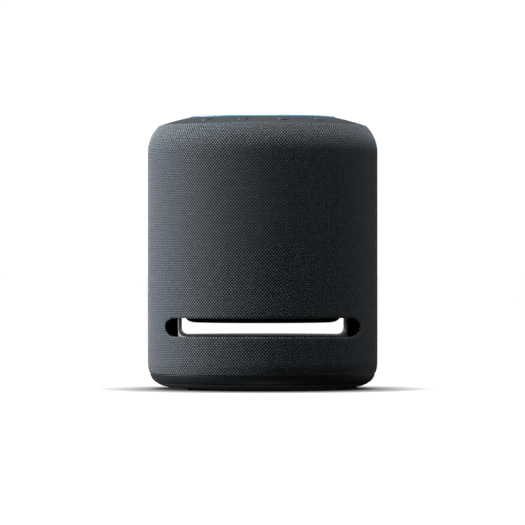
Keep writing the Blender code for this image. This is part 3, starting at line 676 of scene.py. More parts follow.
def outside(x, z, opening):
    """Distance outside an opening, and the direction away from it."""
    dx = abs(x) - opening["half"][0] + opening["corner"]
    dz = abs(z - opening["z"]) - opening["half"][1] + opening["corner"]
    sx = 1 if x >= 0 else -1
    sz = 1 if z >= opening["z"] else -1
    if dx > 0 and dz > 0:
        away = Vector((dx, dz))
        distance = away.length - opening["corner"]
        away.normalize()
        return distance, (sx * away.x, sz * away.y)
    if dx > dz:
        return dx - opening["corner"], (sx, 0.0)
    return dz - opening["corner"], (0.0, sz)


def skin(columns, rows, inset, edge):
    """A tube of quads along the sleeve's section, with faces left out where an opening is."""
    bm = bmesh.new()
    wale = bm.verts.layers.float.new("wale")
    course = bm.verts.layers.float.new("course")
    grid = []
    for j in range(rows + 1):
        radius, z = sleeve_point(j / rows)
        ahead = Vector(sleeve_point(min(1, j / rows + 0.001)))
        behind = Vector(sleeve_point(max(0, j / rows - 0.001)))
        out = Vector(((ahead - behind).y, -(ahead - behind).x)).normalized()
        ring = []
        for i in range(columns):
            angle = -math.pi + math.tau * i / columns
            r = radius - inset * out.x
            spot = (r * math.sin(angle), -r * math.cos(angle), z - inset * out.y)
            vert = bm.verts.new(spot)
            vert[wale] = math.tau * body_radius * i / columns
            vert[course] = sleeve_length * j / rows
            ring.append(vert)
        grid.append(ring)
    for j in range(rows):
        for i in range(columns):
            n = (i + 1) % columns
            corners = (grid[j][i], grid[j][n], grid[j + 1][n], grid[j + 1][i])
            x, y, z = sum((v.co for v in corners), Vector()) / 4
            if z < 60 * MM and any(
                y * side > 0 and outside(x, z, opening)[0] < edge for _, side, opening in OPENINGS
            ):
                continue
            bm.faces.new(corners if inset == 0 else corners[::-1])
    bmesh.ops.delete(bm, geom=[v for v in bm.verts if not v.link_faces], context="VERTS")
    return bm


def rims(bm):
    """The open edges of a skin, as lists of edges in order, by the opening that they belong to."""
    loose = {e for e in bm.edges if len(e.link_faces) == 1}
    found = {}
    while loose:
        edge = loose.pop()
        loop = [edge.verts[0], edge.verts[1]]
        while True:
            step = next((e for e in loop[-1].link_edges if e in loose), None)
            if step is None:
                break
            loose.discard(step)
            loop.append(step.other_vert(loop[-1]))
        if loop[-1] is loop[0]:
            loop.pop()
        middle = sum((v.co for v in loop), Vector()) / len(loop)
        if middle.z > 0.15:
            name = "deck"
        elif middle.z < 14 * MM:
            name = "base"
        elif middle.z < 34 * MM:
            name = "recess"
        else:
            name = "front" if middle.y < 0 else "back"
        found[name] = loop
    return found


def sleeve_radius(z):
    """Radius of the sleeve's outer face at a height below the shoulder."""
    return sleeve_point((z - hem_z - HEM) / (shoulder_centre.y - hem_z - HEM) * straight_share)[0]


straight_share = (shoulder_centre.y - hem_z - HEM) / (
    shoulder_centre.y - hem_z - HEM + shoulder_radius * opening_angle
)
print("the slot is", round(2 * slot_box["half"][0] / MM), "mm wide")

# %% Rolling the edges inward


def on_outline(x, z, opening, offset):
    """A point moved onto the outline at that offset."""
    distance, away = outside(x, z, opening)
    return x + away[0] * (offset - distance), z + away[1] * (offset - distance)


def ring_from(bm, loop, spots):
    """Closes a band of faces from a rim to new points, and returns the new rim."""
    fresh = [bm.verts.new(spot) for spot in spots]
    pair = next(e for e in loop[0].link_edges if loop[1] in e.verts)
    corners = list(pair.link_faces[0].verts)
    forward = corners[(corners.index(loop[0]) + 1) % len(corners)] is loop[1]
    for k in range(len(loop)):
        n = (k + 1) % len(loop)
        face = (loop[n], loop[k], fresh[k], fresh[n])
        bm.faces.new(face if forward else face[::-1])
    return fresh


def roll_opening(bm, loop, side, opening, roll, depth):
    """Draws a rim onto its opening and turns it inward in steps."""
    flat = [on_outline(v.co.x, v.co.z, opening, roll) for v in loop]
    for vert, (x, z) in zip(loop, flat):
        vert.co = (x, side * math.sqrt(sleeve_radius(z) ** 2 - x * x), z)
    steps = [(roll * (1 - math.sin(a)), roll * (1 - math.cos(a))) for a in (0.52, 1.05, 1.57)]
    steps.append((0.0, depth))
    for offset, down in steps:
        spots = []
        for x, z in flat:
            px, pz = on_outline(x, z, opening, offset)
            spots.append((px, side * math.sqrt((sleeve_radius(pz) - down) ** 2 - px * px), pz))
        loop = ring_from(bm, loop, spots)
    return loop


def roll_hem(bm, loop, tangent, out):
    """Turns a hem through a half circle, given as (radial, vertical) directions."""
    start = [v.co.copy() for v in loop]
    for angle in (0.6, 1.2, 1.9, 2.6):
        along, down = HEM * math.sin(angle), HEM * (1 - math.cos(angle))
        spots = []
        for p in start:
            flat = Vector((p.x, p.y, 0)).normalized()
            move = tangent[0] * along - out[0] * down
            spots.append(p + flat * move + Vector((0, 0, tangent[1] * along - out[1] * down)))
        loop = ring_from(bm, loop, spots)
    return loop


def fade_out(bm, rings=2):
    """Marks how much relief each point may have: none at the rims, all of it a stitch away."""
    free = bm.verts.layers.float.new("free")
    near = {v for e in bm.edges if len(e.link_faces) == 1 for v in e.verts}
    for vert in bm.verts:
        vert[free] = 1.0
    for step in range(rings):
        for vert in near:
            vert[free] = min(vert[free], step / rings)
        near |= {e.other_vert(v) for v in near for e in v.link_edges}


def build_sleeve():
    outer = skin(480, sleeve_rows, 0.0, 1.0 * MM)
    fade_out(outer)
    edges = rims(outer)
    sin, cos = math.sin(opening_angle), math.cos(opening_angle)
    loops = {
        "deck": roll_hem(outer, edges["deck"], (-sin, cos), (cos, sin)),
        "base": roll_hem(outer, edges["base"], (-0.26, -0.966), (0.966, -0.26)),
    }
    for name, side, opening in OPENINGS:
        loops[name] = roll_opening(outer, edges[name], side, opening, 1.0 * MM, FABRIC)
    outer_points = {name: [v.co.copy() for v in loop] for name, loop in loops.items()}

    inner = skin(160, 60, FABRIC, 0.6 * MM)
    inner_edges = rims(inner)
    for name, side, opening in OPENINGS:
        for vert in inner_edges[name]:
            x, z = on_outline(vert.co.x, vert.co.z, opening, 0.6 * MM)
            vert.co = (x, side * math.sqrt((sleeve_radius(z) - FABRIC) ** 2 - x * x), z)
    inner_points = {name: [v.co.copy() for v in loop] for name, loop in inner_edges.items()}
    spare = bpy.data.meshes.new("inner")
    inner.to_mesh(spare)
    inner.free()
    outer.from_mesh(spare)
    outer.verts.ensure_lookup_table()

    by_place = {tuple(round(c, 7) for c in v.co): v for v in outer.verts}
    for name in outer_points:
        ends = []
        for points in (outer_points[name], inner_points[name]):
            loop = [by_place[tuple(round(c, 7) for c in p)] for p in points]
            for k, vert in enumerate(loop):
                other = loop[(k + 1) % len(loop)]
                ends.append(next(e for e in vert.link_edges if other in e.verts))
        bmesh.ops.bridge_loops(outer, edges=list(set(ends)))
    open_edges = sum(1 for e in outer.edges if len(e.link_faces) != 2)
    print("the sleeve has", len(outer.faces), "faces and", open_edges, "open edges")
    mesh = bpy.data.meshes.new("sleeve")
    outer.to_mesh(mesh)
    outer.free()
    mesh.shade_smooth()
    return mesh


sleeve_mesh = build_sleeve()

# %% [markdown]
# ### Raising the stitches
# Geometry Nodes lift and sink the points by the same lattice that the material uses, so that yarn and
# shading agree. Height is an input of the tree, and so are the stitch's width and height. The mesh
# holds where each point lies along the knit, and how free it is to move, as attributes.

# %% Geometry Nodes helper


def node_tree(name, inputs):
    """A Geometry Nodes tree with a geometry in and out, and the given named inputs."""
    tree = bpy.data.node_groups.new(name, "GeometryNodeTree")
    face = tree.interface
    face.new_socket("Geometry", in_out="INPUT", socket_type="NodeSocketGeometry")
    kinds = {float: "NodeSocketFloat", int: "NodeSocketInt"}
    for label, value in inputs.items():
        kind = kinds.get(type(value), "NodeSocketMaterial")
        face.new_socket(label, in_out="INPUT", socket_type=kind)
    face.new_socket("Geometry", in_out="OUTPUT", socket_type="NodeSocketGeometry")
    return tree, tree.nodes.new("NodeGroupInput").outputs


def close_tree(tree, given, geometry):
    """Realizes instances, sets the material and leads to the output."""
    real = wire(tree, "GeometryNodeRealizeInstances", {0: geometry})
    done = wire(tree, "GeometryNodeSetMaterial", {0: real.outputs[0], "Material": given["Material"]})
    wire(tree, "NodeGroupOutput", {0: done.outputs[0]})


def grown(mesh, tree, values):
    """The mesh that a tree makes of another mesh. Inputs are set by their identifiers."""
    obj = bpy.data.objects.new("seed", mesh)
    bpy.context.scene.collection.objects.link(obj)
    modifier = obj.modifiers.new("grow", "NODES")
    modifier.node_group = tree
    for item in tree.interface.items_tree:
        if item.in_out == "INPUT" and item.name in values:
            modifier[item.identifier] = values[item.name]
    graph = bpy.context.evaluated_depsgraph_get()
    result = bpy.data.meshes.new_from_object(obj.evaluated_get(graph))
    obj.modifiers.remove(modifier)
    bpy.data.objects.remove(obj)
    return result


# %% Tree: knit relief
sizes = {"Stitch Width": 0.0, "Stitch Height": 0.0, "Relief": 0.0}
relief, given = node_tree("knit_relief", {**sizes, "Material": KNIT})


def named(tree, name):
    return wire(tree, "GeometryNodeInputNamedAttribute", {"Name": name}, data_type="FLOAT").outputs[0]


def wave(tree, place, size):
    turns = calc(tree, "MULTIPLY", calc(tree, "DIVIDE", place, size), math.tau)
    return calc(tree, "COSINE", turns)


hills = calc(
    relief,
    "MULTIPLY",
    wave(relief, named(relief, "wale"), given["Stitch Width"]),
    wave(relief, named(relief, "course"), given["Stitch Height"]),
)
lift = calc(relief, "MULTIPLY", hills, calc(relief, "MULTIPLY", given["Relief"], named(relief, "free")))
normal = wire(relief, "GeometryNodeInputNormal").outputs[0]
offset = wire(relief, "ShaderNodeVectorMath", {0: normal, "Scale": lift}, operation="SCALE").outputs[0]
raised = wire(relief, "GeometryNodeSetPosition", {0: given["Geometry"], "Offset": offset})
close_tree(relief, given, raised.outputs[0])

row_step = sleeve_length / sleeve_rows
values = {"Stitch Width": STITCH_WIDTH, "Stitch Height": 2 * row_step, "Relief": 0.14 * MM}
knit_mesh = grown(sleeve_mesh, relief, {**values, "Material": KNIT})


def lay_stitches(mesh):
    """A UV map in metres: around the drum, and along the section from the base to the deck."""
    count = len(mesh.loops)
    corner = np.empty(count, int)
    mesh.loops.foreach_get("vertex_index", corner)
    points = np.empty(len(mesh.vertices) * 3)
    mesh.vertices.foreach_get("co", points)
    x, y, z = points.reshape(-1, 3)[corner].T
    line = np.array([sleeve_point(i / 400) for i in range(401)])
    steps = np.hypot(*np.diff(line, axis=0).T)
    run = np.concatenate(([0.0], np.cumsum(steps)))
    u = (np.arctan2(x, -y) + math.pi) * body_radius
    v = np.interp(z, line[:, 1], run)
    start = np.empty(len(mesh.polygons), int)
    mesh.polygons.foreach_get("loop_start", start)
    face = np.searchsorted(start, np.arange(count), side="right") - 1
    top = np.maximum.reduceat(u, start)[face]
    round_trip = math.tau * body_radius
    u = np.where(top - u > round_trip / 2, u + round_trip, u)
    layer = mesh.uv_layers.new(name="stitches")
    layer.data.foreach_set("uv", np.column_stack((u, v)).ravel())


lay_stitches(knit_mesh)
for name in ("wale", "course", "free"):
    knit_mesh.attributes.remove(knit_mesh.attributes[name])
knit_mesh.shade_smooth()
sleeve = piece(
    "knit_sleeve", knit_mesh, KNIT, replaces=("fabric_cover",)
)

# %% [markdown]
# ## The control deck
# The deck is one satin moulding: a shallow slope that falls from the light ring to the sleeve, a groove
# for the ring, and a well for the top cloth. A lathe makes it. The holes for the keys are carved
# afterward, with a small rounded lead-in each, and so are the pinholes of the microphones, which
# Geometry Nodes set around a circle.

# %% The deck's slope
crest_radius, crest_z = 55.7 * MM, 206.5 * MM
rim_radius = 77.3 * MM
KEY_CIRCLE = 66.2 * MM
KEY_ANGLES = {"mute": -39, "volume_down": -13, "volume_up": 13, "action": 39}


def deck_height(radius):
    run = radius - crest_radius
    return crest_z - 0.2035 * run - 3.00 * run**2


def deck_tilt(radius):
    return math.atan(0.2035 + 6.00 * (radius - crest_radius))


def key_place(angle):
    """Middle of a key, and the directions to its right and outward."""
    turn = math.radians(angle)
    outward = Vector((math.sin(turn), -math.cos(turn), 0))
    right = Vector((math.cos(turn), math.sin(turn), 0))
    return outward * KEY_CIRCLE, right, outward


print("the deck falls", round((crest_z - deck_height(rim_radius)) / MM, 1), "mm to its rim")

# %% Microphone pinholes around a circle
ring_of, given = node_tree(
    "pinhole_circle",
    {"Count": 6, "Circle Radius": 0.0, "Hole Radius": 0.0, "Depth": 0.0, "Material": BLACK},
)
circle = wire(
    ring_of,
    "GeometryNodeMeshCircle",
    {"Vertices": given["Count"], "Radius": given["Circle Radius"]},
    fill_type="NONE",
)
pin = wire(
    ring_of,
    "GeometryNodeMeshCylinder",
    {"Vertices": 20, "Radius": given["Hole Radius"], "Depth": given["Depth"]},
)
pins = wire(
    ring_of, "GeometryNodeInstanceOnPoints", {"Points": circle.outputs[0], "Instance": pin.outputs[0]}
)
close_tree(ring_of, given, pins.outputs[0])


def pinholes(count, circle_radius, hole_radius, low, high):
    """Short bars on a circle, to carve pinholes with."""
    seed = bpy.data.meshes.new("seed")
    values = {"Count": count, "Circle Radius": circle_radius, "Hole Radius": hole_radius}
    made = grown(seed, ring_of, {**values, "Depth": high - low, "Material": BLACK})
    made.transform(Matrix.Translation((0, 0, (low + high) / 2)))
    made.transform(Matrix.Rotation(math.pi / count, 4, "Z"))
    return made


def build_deck():
    span = rim_radius - crest_radius
    under = crest_radius + 2 * MM
    slope = [(crest_radius + span * i / 14, 0) for i in range(1, 14)]
    corners = [
        (crest_radius, crest_z, 0.4 * MM),
        *[(r, deck_height(r), 0) for r, _ in slope],
        (rim_radius, deck_height(rim_radius), 0.5 * MM),
        (rim_radius, 199.7 * MM, 0.2 * MM),
        (75.0 * MM, 199.3 * MM, 0.2 * MM),
        (75.0 * MM, 194.7 * MM, 0.3 * MM),
        (73.0 * MM, 194.7 * MM, 0.3 * MM),
        (73.0 * MM, deck_height(73.0 * MM) - 2 * MM, 0.5 * MM),
        (under, deck_height(under) - 2 * MM, 0.5 * MM),
        (under, 199.8 * MM, 0.3 * MM),
        (53.0 * MM, 196.6 * MM, 0.3 * MM),
        (46.5 * MM, 196.6 * MM, 0.3 * MM),
        (46.5 * MM, 198.2 * MM, 0.3 * MM),
        (51.0 * MM, 198.2 * MM, 0.2 * MM),
        (51.0 * MM, 204.2 * MM, 0.5 * MM),
        (52.6 * MM, 204.2 * MM, 0.5 * MM),
        (52.6 * MM, 201.8 * MM, 0.2 * MM),
        (crest_radius, 201.8 * MM, 0.2 * MM),
    ]
    mesh = turned(rounded(corners), 256)
    tools = [pinholes(6, 60.5 * MM, 0.55 * MM, 0.199, 0.212)]
    hole, tilt = 4.3 * MM, deck_tilt(KEY_CIRCLE)
    for angle in KEY_ANGLES.values():
        middle, right, _ = key_place(angle)
        tools.append(cylinder(hole, 0.19, 0.215, centre=middle[:2]))
        lead = [(0.0, 1.0), (4.9, 1.0), (4.9, 0.02), (4.62, -0.04), (4.42, -0.2), (4.3, -0.5)]
        flare = turned([(r * MM, z * MM) for r, z in [*lead, (0.0, -0.5)]], 64)
        flare.transform(Matrix.Rotation(tilt, 4, right))
        flare.transform(Matrix.Translation((*middle[:2], deck_height(KEY_CIRCLE))))
        tools.append(flare)
    mesh = combined(mesh, tools)
    shade(mesh, 30)
    return mesh


piece("control_deck", build_deck(), DECK, replaces=("top_deck",))

# %% [markdown]
# ### Keys
# Four round keys stand half a millimetre proud of the slope, and their tops follow it. Each is turned
# like a mushroom on its stem, then its top is sheared to the slope, dished a little for the fingertip
# and given a raised sign. A key rides on its own body, so it goes down into the deck when it is
# pressed.

# %% Signs on the keys


def plus_outline(arm, half):
    a, h = arm, half
    spots = [(a, h), (h, h), (h, a), (-h, a), (-h, h), (-a, h)]
    return spots + [(-x, -y) for x, y in spots]


def disc_outline(radius, steps=28, phase=0.0):
    turns = [math.tau * k / steps + phase for k in range(steps)]
    return [(radius * math.cos(a), radius * math.sin(a)) for a in turns]


def sign_meshes(kind):
    """Flat outlines, in metres, that are raised on a key's top."""
    thin = 0.22 * MM
    long = 1.5 * MM
    if kind == "volume_up":
        return [plus_outline(long, thin)]
    if kind == "volume_down":
        return [round_box(0, 0, long, thin, 0.1 * MM, 3)]
    if kind == "action":
        return [disc_outline(0.75 * MM)]
    slash = [(x * MM, y * MM) for x, y in ((-1.15, -0.9), (-0.9, -1.15), (1.15, 0.9), (0.9, 1.15))]
    return [round_box(0, 0, 1.55 * MM, 1.55 * MM, 1.5 * MM), slash]


def build_key(kind, angle):
    middle, right, outward = key_place(angle)
    slope = math.tan(deck_tilt(KEY_CIRCLE))
    top = deck_height(KEY_CIRCLE) + 0.5 * MM
    radius, stem = 4.0 * MM, 1.6 * MM
    # heights above 1 mm belong to the top, and are sheared to the slope
    dish = [(0.0, -0.18), (1.0, -0.17), (2.0, -0.12), (2.9, -0.05), (3.4, 0.0), (3.68, 0.0)]
    edge = [(3.86, -0.05), (3.96, -0.18), (4.0, -0.4), (4.0, -0.9)]
    section = [(r * MM, z * MM) for r, z in dish + edge]
    sheared = len(section)
    low = 200.1 * MM - top
    section += [
        (radius, low),
        (radius + 1.2 * MM, low),
        (radius + 1.2 * MM, low - 0.8 * MM),
        (stem, low - 0.8 * MM),
        (stem, 198.3 * MM - top),
        (0.0, 198.3 * MM - top),
    ]
    mesh = turned(section, 64, sharp_angle=40)
    deepest = section[sheared - 1][1] - 0.01 * MM
    lean = Matrix((right, -outward, (0, 0, 1))).transposed()
    if kind == "mute":
        ring, slash = sign_meshes(kind)
        inner = bar(round_box(0, 0, 1.15 * MM, 1.15 * MM, 1.1 * MM), -1, 1, "Z")
        signs = [combined(bar(ring, -0.4 * MM, 0.0, "Z"), [inner]), bar(slash, -0.4 * MM, 0.0, "Z")]
    else:
        signs = [bar(outline, -0.4 * MM, 0.0, "Z") for outline in sign_meshes(kind)]
    bm = bmesh.new()
    bm.from_mesh(mesh)
    for vert in bm.verts:
        if vert.co.z > deepest:
            vert.co.z -= slope * vert.co.dot(outward)
    body_count = len(bm.verts)
    for sign in signs:
        bm.from_mesh(sign)
    bm.verts.ensure_lookup_table()
    for vert in bm.verts[body_count:]:
        vert.co = lean @ vert.co
        vert.co.z -= slope * vert.co.dot(outward)
    for vert in bm.verts:
        vert.co += Vector((middle.x, middle.y, top))
    return mesh_of(bm, 40)


for kind, angle in KEY_ANGLES.items():
    key = build_key(kind, angle)
    node = f"{kind}_button"
    piece(f"{kind}_key_cap", key, KEY, f"{kind}_key", (node,))

# %% [markdown]
# ### The light ring
# A translucent ring stands in the groove between the deck and the top cloth. Lamps under it make it
# glow: deep blue around, and a paler, greener cyan toward the person who is speaking, here at the
# front. The glow is an emission colour that depends on the direction around the drum.

# %% Glowing lens


def glowing_lens():
    material, tree, shader = blank("glowing_lens")
    place = wire(tree, "ShaderNodeTexCoord").outputs["Object"]
    split = wire(tree, "ShaderNodeSeparateXYZ", {0: place}).outputs
    front = calc(tree, "MULTIPLY", split[1], -1.0)
    side = calc(tree, "ABSOLUTE", split[0])
    turn = calc(tree, "ARCTAN2", side, front)
    ramp = wire(tree, "ShaderNodeValToRGB", {0: calc(tree, "DIVIDE", turn, math.pi)})
    stops = ramp.color_ramp.elements
    stops[0].position, stops[0].color = 0.02, (0.22, 0.72, 0.62, 1)
    stops[1].position, stops[1].color = 1.0, (0.01, 0.07, 0.30, 1)
    for where, colour in ((0.12, (0.06, 0.48, 0.62, 1)), (0.24, (0.015, 0.24, 0.62, 1))):
        stops.new(where).color = colour
    tree.links.new(ramp.outputs[0], shader.inputs["Emission Color"])
    shader.inputs["Emission Strength"].default_value = 0.75
    cloud = noise(tree, place, 90.0)[0]
    tint = mix_colours(tree, cloud, (0.05, 0.13, 0.20, 1), (0.07, 0.17, 0.25, 1))
    tree.links.new(tint, shader.inputs["Base Color"])
    shader.inputs["Roughness"].default_value = 0.35
    shader.inputs["Coat Weight"].default_value = 0.3
    return material


LENS = glowing_lens()
lens_low, lens_high = (corner.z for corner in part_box("light_ring"))
lens_section = [
    (55.4 * MM, lens_high, 0.7 * MM),
    (55.4 * MM, lens_low, 0.2 * MM),
    (52.9 * MM, lens_low, 0.2 * MM),
    (52.9 * MM, lens_high - 0.4 * MM, 0.9 * MM),
]
ring_mesh = turned(rounded(lens_section, steps=6), 256)
piece("glow_ring", ring_mesh, LENS, replaces=("light_ring",))

# %% [markdown]
# ### The top cloth
# The disc inside the ring is a stiff, slightly crowned grille with a finer cloth drawn over it and
# glued under its edge. A lathe gives its shape, and the cloth is the same weave group with smaller
# stitches on Object coordinates.

# %% Top cloth
cloth_section = [
    (0.0, 200.7 * MM, 0),
    (12 * MM, 200.64 * MM, 0),
    (25 * MM, 200.46 * MM, 0),
    (38 * MM, 200.14 * MM, 0),
    (47 * MM, 199.88 * MM, 0),
    (50.7 * MM, 199.7 * MM, 0.6 * MM),
    (50.7 * MM, 198.5 * MM, 0.3 * MM),
    (25 * MM, 199.3 * MM, 0),
    (0.0, 199.5 * MM, 0),
]
cloth_mesh = turned(rounded(cloth_section, closed=False), 192)
piece("top_cloth", cloth_mesh, TOP_KNIT, replaces=("top_grille",))

# %% [markdown]
# ## The sound slot
# Under the sleeve the slot leads into a duct between two pillars, which carry the whole enclosure. Its
# mouth is rounded all the way along, so that air doesn't whistle and the edge shows as a thin light
# line. The duct is carved from a disc with a flared cutter whose mouth follows the disc's round face.

# %% Duct with flared mouths
duct_top, duct_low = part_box("duct_liner")[1].z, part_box("duct_liner")[0].z
duct_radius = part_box("duct_liner")[1].x
LIP = 0.8 * MM


def duct_outline(offset):
    """The duct's section from the front, grown by the offset. Its walls lean in above the slot."""
    wide, neck, o = 62.6 * MM + offset, 58.8 * MM + offset, offset
    half = [
        (wide, 40.8 * MM - o, 5.5 * MM + o),
        (wide, 55.2 * MM + o, 7.5 * MM),
        (neck, 56.4 * MM + o, 0.5 * MM),
        (neck, 66.0 * MM + o, 2.0 * MM),
    ]
    return rounded(half + [(-x, z, r) for x, z, r in half[::-1]], steps=8)


def flared_cutter():
    """The air in the duct: a rounded bar along Y that widens where it leaves the disc."""
    levels = [(LIP + 0.5 * MM, -1.0 * MM), (LIP, 0.0)]
    for k in range(1, 8):
        angle = math.pi / 2 * k / 7
        levels.append((LIP * (1 - math.sin(angle)), LIP * (1 - math.cos(angle))))
    plain = duct_outline(0.0)
    shares = [
        max(1, round(math.dist(a, plain[(k + 1) % len(plain)]) / (4 * MM))) for k, a in enumerate(plain)
    ]
    bm = bmesh.new()
    rings = []
    for side in (-1, 1):
        for offset, depth in levels if side < 0 else levels[::-1]:
            outline = duct_outline(offset)
            dense = []
            for k, (a, parts) in enumerate(zip(outline, shares)):
                b = outline[(k + 1) % len(outline)]
                dense += [
                    (a[0] + (b[0] - a[0]) * j / parts, a[1] + (b[1] - a[1]) * j / parts)
                    for j in range(parts)
                ]
            rings.append([
                bm.verts.new((x, side * (math.sqrt(duct_radius**2 - x * x) - depth), z))
                for x, z in dense
            ])
    for near, far in zip(rings, rings[1:]):
        for k in range(len(near)):
            n = (k + 1) % len(near)
            bm.faces.new((near[k], near[n], far[n], far[k]))
    for ring, side in ((rings[0], -1), (rings[-1], 1)):
        cap = [bm.verts.new((v.co.x, side * 0.1, v.co.z)) for v in ring]
        for k in range(len(ring)):
            n = (k + 1) % len(ring)
            bm.faces.new((ring[k], ring[n], cap[n], cap[k]))
        bm.faces.new(cap)
    weld(bm)
    return mesh_of(bm)


duct_section = [
    (0.0, duct_top, 0),
    (duct_radius, duct_top, 0.4 * MM),
    (duct_radius, duct_low, 0.4 * MM),
    (0.0, duct_low, 0),
]


def pillar_bands(near, far, half_low, half_high, low, high):
    """Curved blocks on the outer faces of the two pillars, front and back."""
    made = []
    for face in (-1, 1):
        for side in (-1, 1):
            spots = ((half_low, low), (half_high, low), (half_high, high), (half_low, high))
            block = bar([(side * x, z) for x, z in spots], *sorted((face * 5 * MM, face * 95 * MM)))
            band = turned([(near, low - MM), (far, low - MM), (far, high + MM), (near, high + MM)], 256)
            made.append(combined(block, [band], "INTERSECT"))
    return made


POCKET_DEPTH = 6.0 * MM
POCKET_SIDES = (63.5 * MM, 79.0 * MM)
POCKET_ENDS = (40.0 * MM, 55.2 * MM)
pocket_reach = (duct_radius - POCKET_DEPTH, duct_radius + 4 * MM)
pockets = pillar_bands(*pocket_reach, *POCKET_SIDES, *POCKET_ENDS)
duct_mesh = combined(turned(rounded(duct_section, closed=False), 256), [flared_cutter(), *pockets])
shade(duct_mesh, 30)
piece("sound_duct", duct_mesh, DUCT, replaces=("duct_liner",))

# %% [markdown]
# The outer face of each pillar has a pocket, whose depth gives some real shade, and a near-black pad in
# it. The pad is painted shade, so that the ends of the slot look like dark holes beside the duct's mouth.

# %% Painted shade in the pillars' pockets
CLEARANCE = 0.1 * MM
painted_shade_reach = (duct_radius - POCKET_DEPTH + CLEARANCE, duct_radius - 3.5 * MM)
painted_shade_sides = (POCKET_SIDES[0] + CLEARANCE, POCKET_SIDES[1] - CLEARANCE)
painted_shade_ends = (POCKET_ENDS[0] + CLEARANCE, POCKET_ENDS[1] - CLEARANCE)
# each pad's near-black colour is painted shade that keeps the slot's ends dark
pads = pillar_bands(*painted_shade_reach, *painted_shade_sides, *painted_shade_ends)
for pad, name in zip(pads, ("front_left", "front_right", "rear_left", "rear_right")):
    piece(f"{name}_foam", softened(pad, 0.3 * MM, 2, 50), PAINTED_SHADE)

# %% [markdown]
# ## The woofer above the slot
# The large driver faces down into the duct, inside a thick black ring whose lower edge is rounded. Its
# cone moves, and the rubber roll around it stretches between the cone and the basket. The roll is one
# turned piece that blends between two bodies by radius: its inner edge follows the cone, and its outer
# edge stays with the housing.

# %% Woofer ring
ring_low, ring_high = (corner.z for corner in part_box("woofer_trim"))
ring_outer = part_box("woofer_trim")[1].x
ring_inner = 50.8 * MM
quarter = [math.pi / 2 * k / 12 for k in range(13)]
wide, tall = ring_outer - ring_inner - 0.4 * MM, 4.0 * MM
woofer_ring_section = [
    (ring_outer, ring_high),
    *[
        (ring_outer - wide * (1 - math.cos(a)), ring_low + tall * (1 - math.sin(a)))
        for a in quarter
    ],
    (ring_inner + 0.15 * MM, ring_low + 0.05 * MM),
    (ring_inner, ring_low + 0.25 * MM),
    (ring_inner, ring_high),
]
ring_mesh = turned(woofer_ring_section, 224)
piece("woofer_ring", ring_mesh, DEEP, replaces=("woofer_trim",))

# %% Cone and roll
baffle_z = 60.6 * MM


def facing_down(points):
    """A section given from the driver's seat, turned to sound downward."""
    return [(r * MM, baffle_z - z * MM) for r, z in points]


def ribbed_cone():
    """The cone's face with shallow stiffening rings, its dust cap, and its back."""
    face = [(0, -11.5), (4, -11.8), (8, -12.5), (12, -13.7), (16, -15.4), (18.4, -16.7), (19, -16.9)]
    steps = 36
    for k in range(1, steps + 1):
        r = 19 + 22.2 * k / steps
        z = -16.9 + 16.5 * k / steps
        face.append((r, z + 0.25 * math.sin(math.pi * k / 4) * (4 < k < 33)))
    back = [(41.2, -1.2), (16.8, -19.4), (16.3, -17.6), (9.8, -14.0), (0, -12.4)]
    return turned(facing_down(face + back), 160, sharp_angle=50)


def roll_between(inner, outer, rise, seat, thickness, flange=2.5):
    """Section of a half-round rubber roll, in mm, with a flat flange on each side."""
    middle, half = (inner + outer) / 2, (outer - inner) / 2
    arc = [math.pi * k / 14 for k in range(15)]
    top = [(middle - (half - 0.2) * math.cos(a), seat + rise * math.sin(a)) for a in arc]
    low = [(middle - (half + 0.2) * math.cos(a), seat + (rise + thickness) * math.sin(a)) for a in arc]
    flange_out = [(outer + flange + 1.5, seat), (outer + flange + 1.5, seat + thickness)]
    flange_in = [(inner - flange, seat + thickness), (inner - flange, seat)]
    return top + flange_out + [(r, max(z, seat + thickness)) for r, z in low[::-1]] + flange_in


def by_radius(obj, centre, axis, inner, outer):
    """Sets a roll's blend so that it follows the cone inside and the frame outside."""
    weights = obj.data.attributes["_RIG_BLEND"].data
    for vert, weight in zip(obj.data.vertices, weights):
        arm = vert.co - Vector(centre)
        arm -= arm.dot(Vector(axis)) * Vector(axis)
        share = min(1.0, max(0.0, (outer - arm.length) / (outer - inner)))
        weight.value = share * share * (3 - 2 * share)


piece("woofer_cone_face", ribbed_cone(), PAPER, "woofer_diaphragm", ("woofer_cone",))


def blended_roll(name, mesh, material, diaphragm, node, centre, axis, inner, outer, slot="rubber"):
    """A roll or spider that stretches between the housing and a diaphragm."""
    obj = bpy.data.objects.new(name, mesh)
    mesh.name = name
    mesh.materials.append(material)
    bpy.context.scene.collection.objects.link(obj)
    start = Vector(centre) - Vector(axis) * 0.02
    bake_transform(obj, HOUSING, diaphragm, start=start, end=start + Vector(axis) * 0.04)
    by_radius(obj, centre, axis, inner, outer)
    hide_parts(node)
    print(name, len(mesh.polygons), "faces")


roll_section = facing_down(roll_between(41.8, 50.2, 3.7, 0.0, 0.7))
roll_mesh = turned(roll_section, 160, sharp_angle=50)
down = (0, 0, -1)
blended_roll(
    "woofer_roll",
    roll_mesh,
    RUBBER,
    "woofer_diaphragm",
    "woofer_surround",
    (0, 0, baffle_z),
    down,
    41.5 * MM,
    50.5 * MM,
)
spider_section = [(38.0, -24.1)]
for k in range(49):
    spider_section.append((38 - 22 * k / 48, -24.35 + 0.85 * math.sin(math.tau * k / 12)))
spider_section += [(16.0, -24.8)]
spider_section += [(r, z - 0.5) for r, z in spider_section[-2:0:-1]]
blended_roll(
    "woofer_spider_cloth",
    turned(facing_down(spider_section), 96, sharp_angle=60),
    SPIDER,
    "woofer_diaphragm",
    "woofer_spider",
    (0, 0, baffle_z),
    down,
    16.5 * MM,
    37.5 * MM,
    "spider_cloth",
)

# %% [markdown]
# The three small drivers behind the knit have the same kind of roll. They hide under the sleeve, but
# when a pose moves their cones the rubber should still stretch, so each gets a finer roll and the same
# blend by radius.

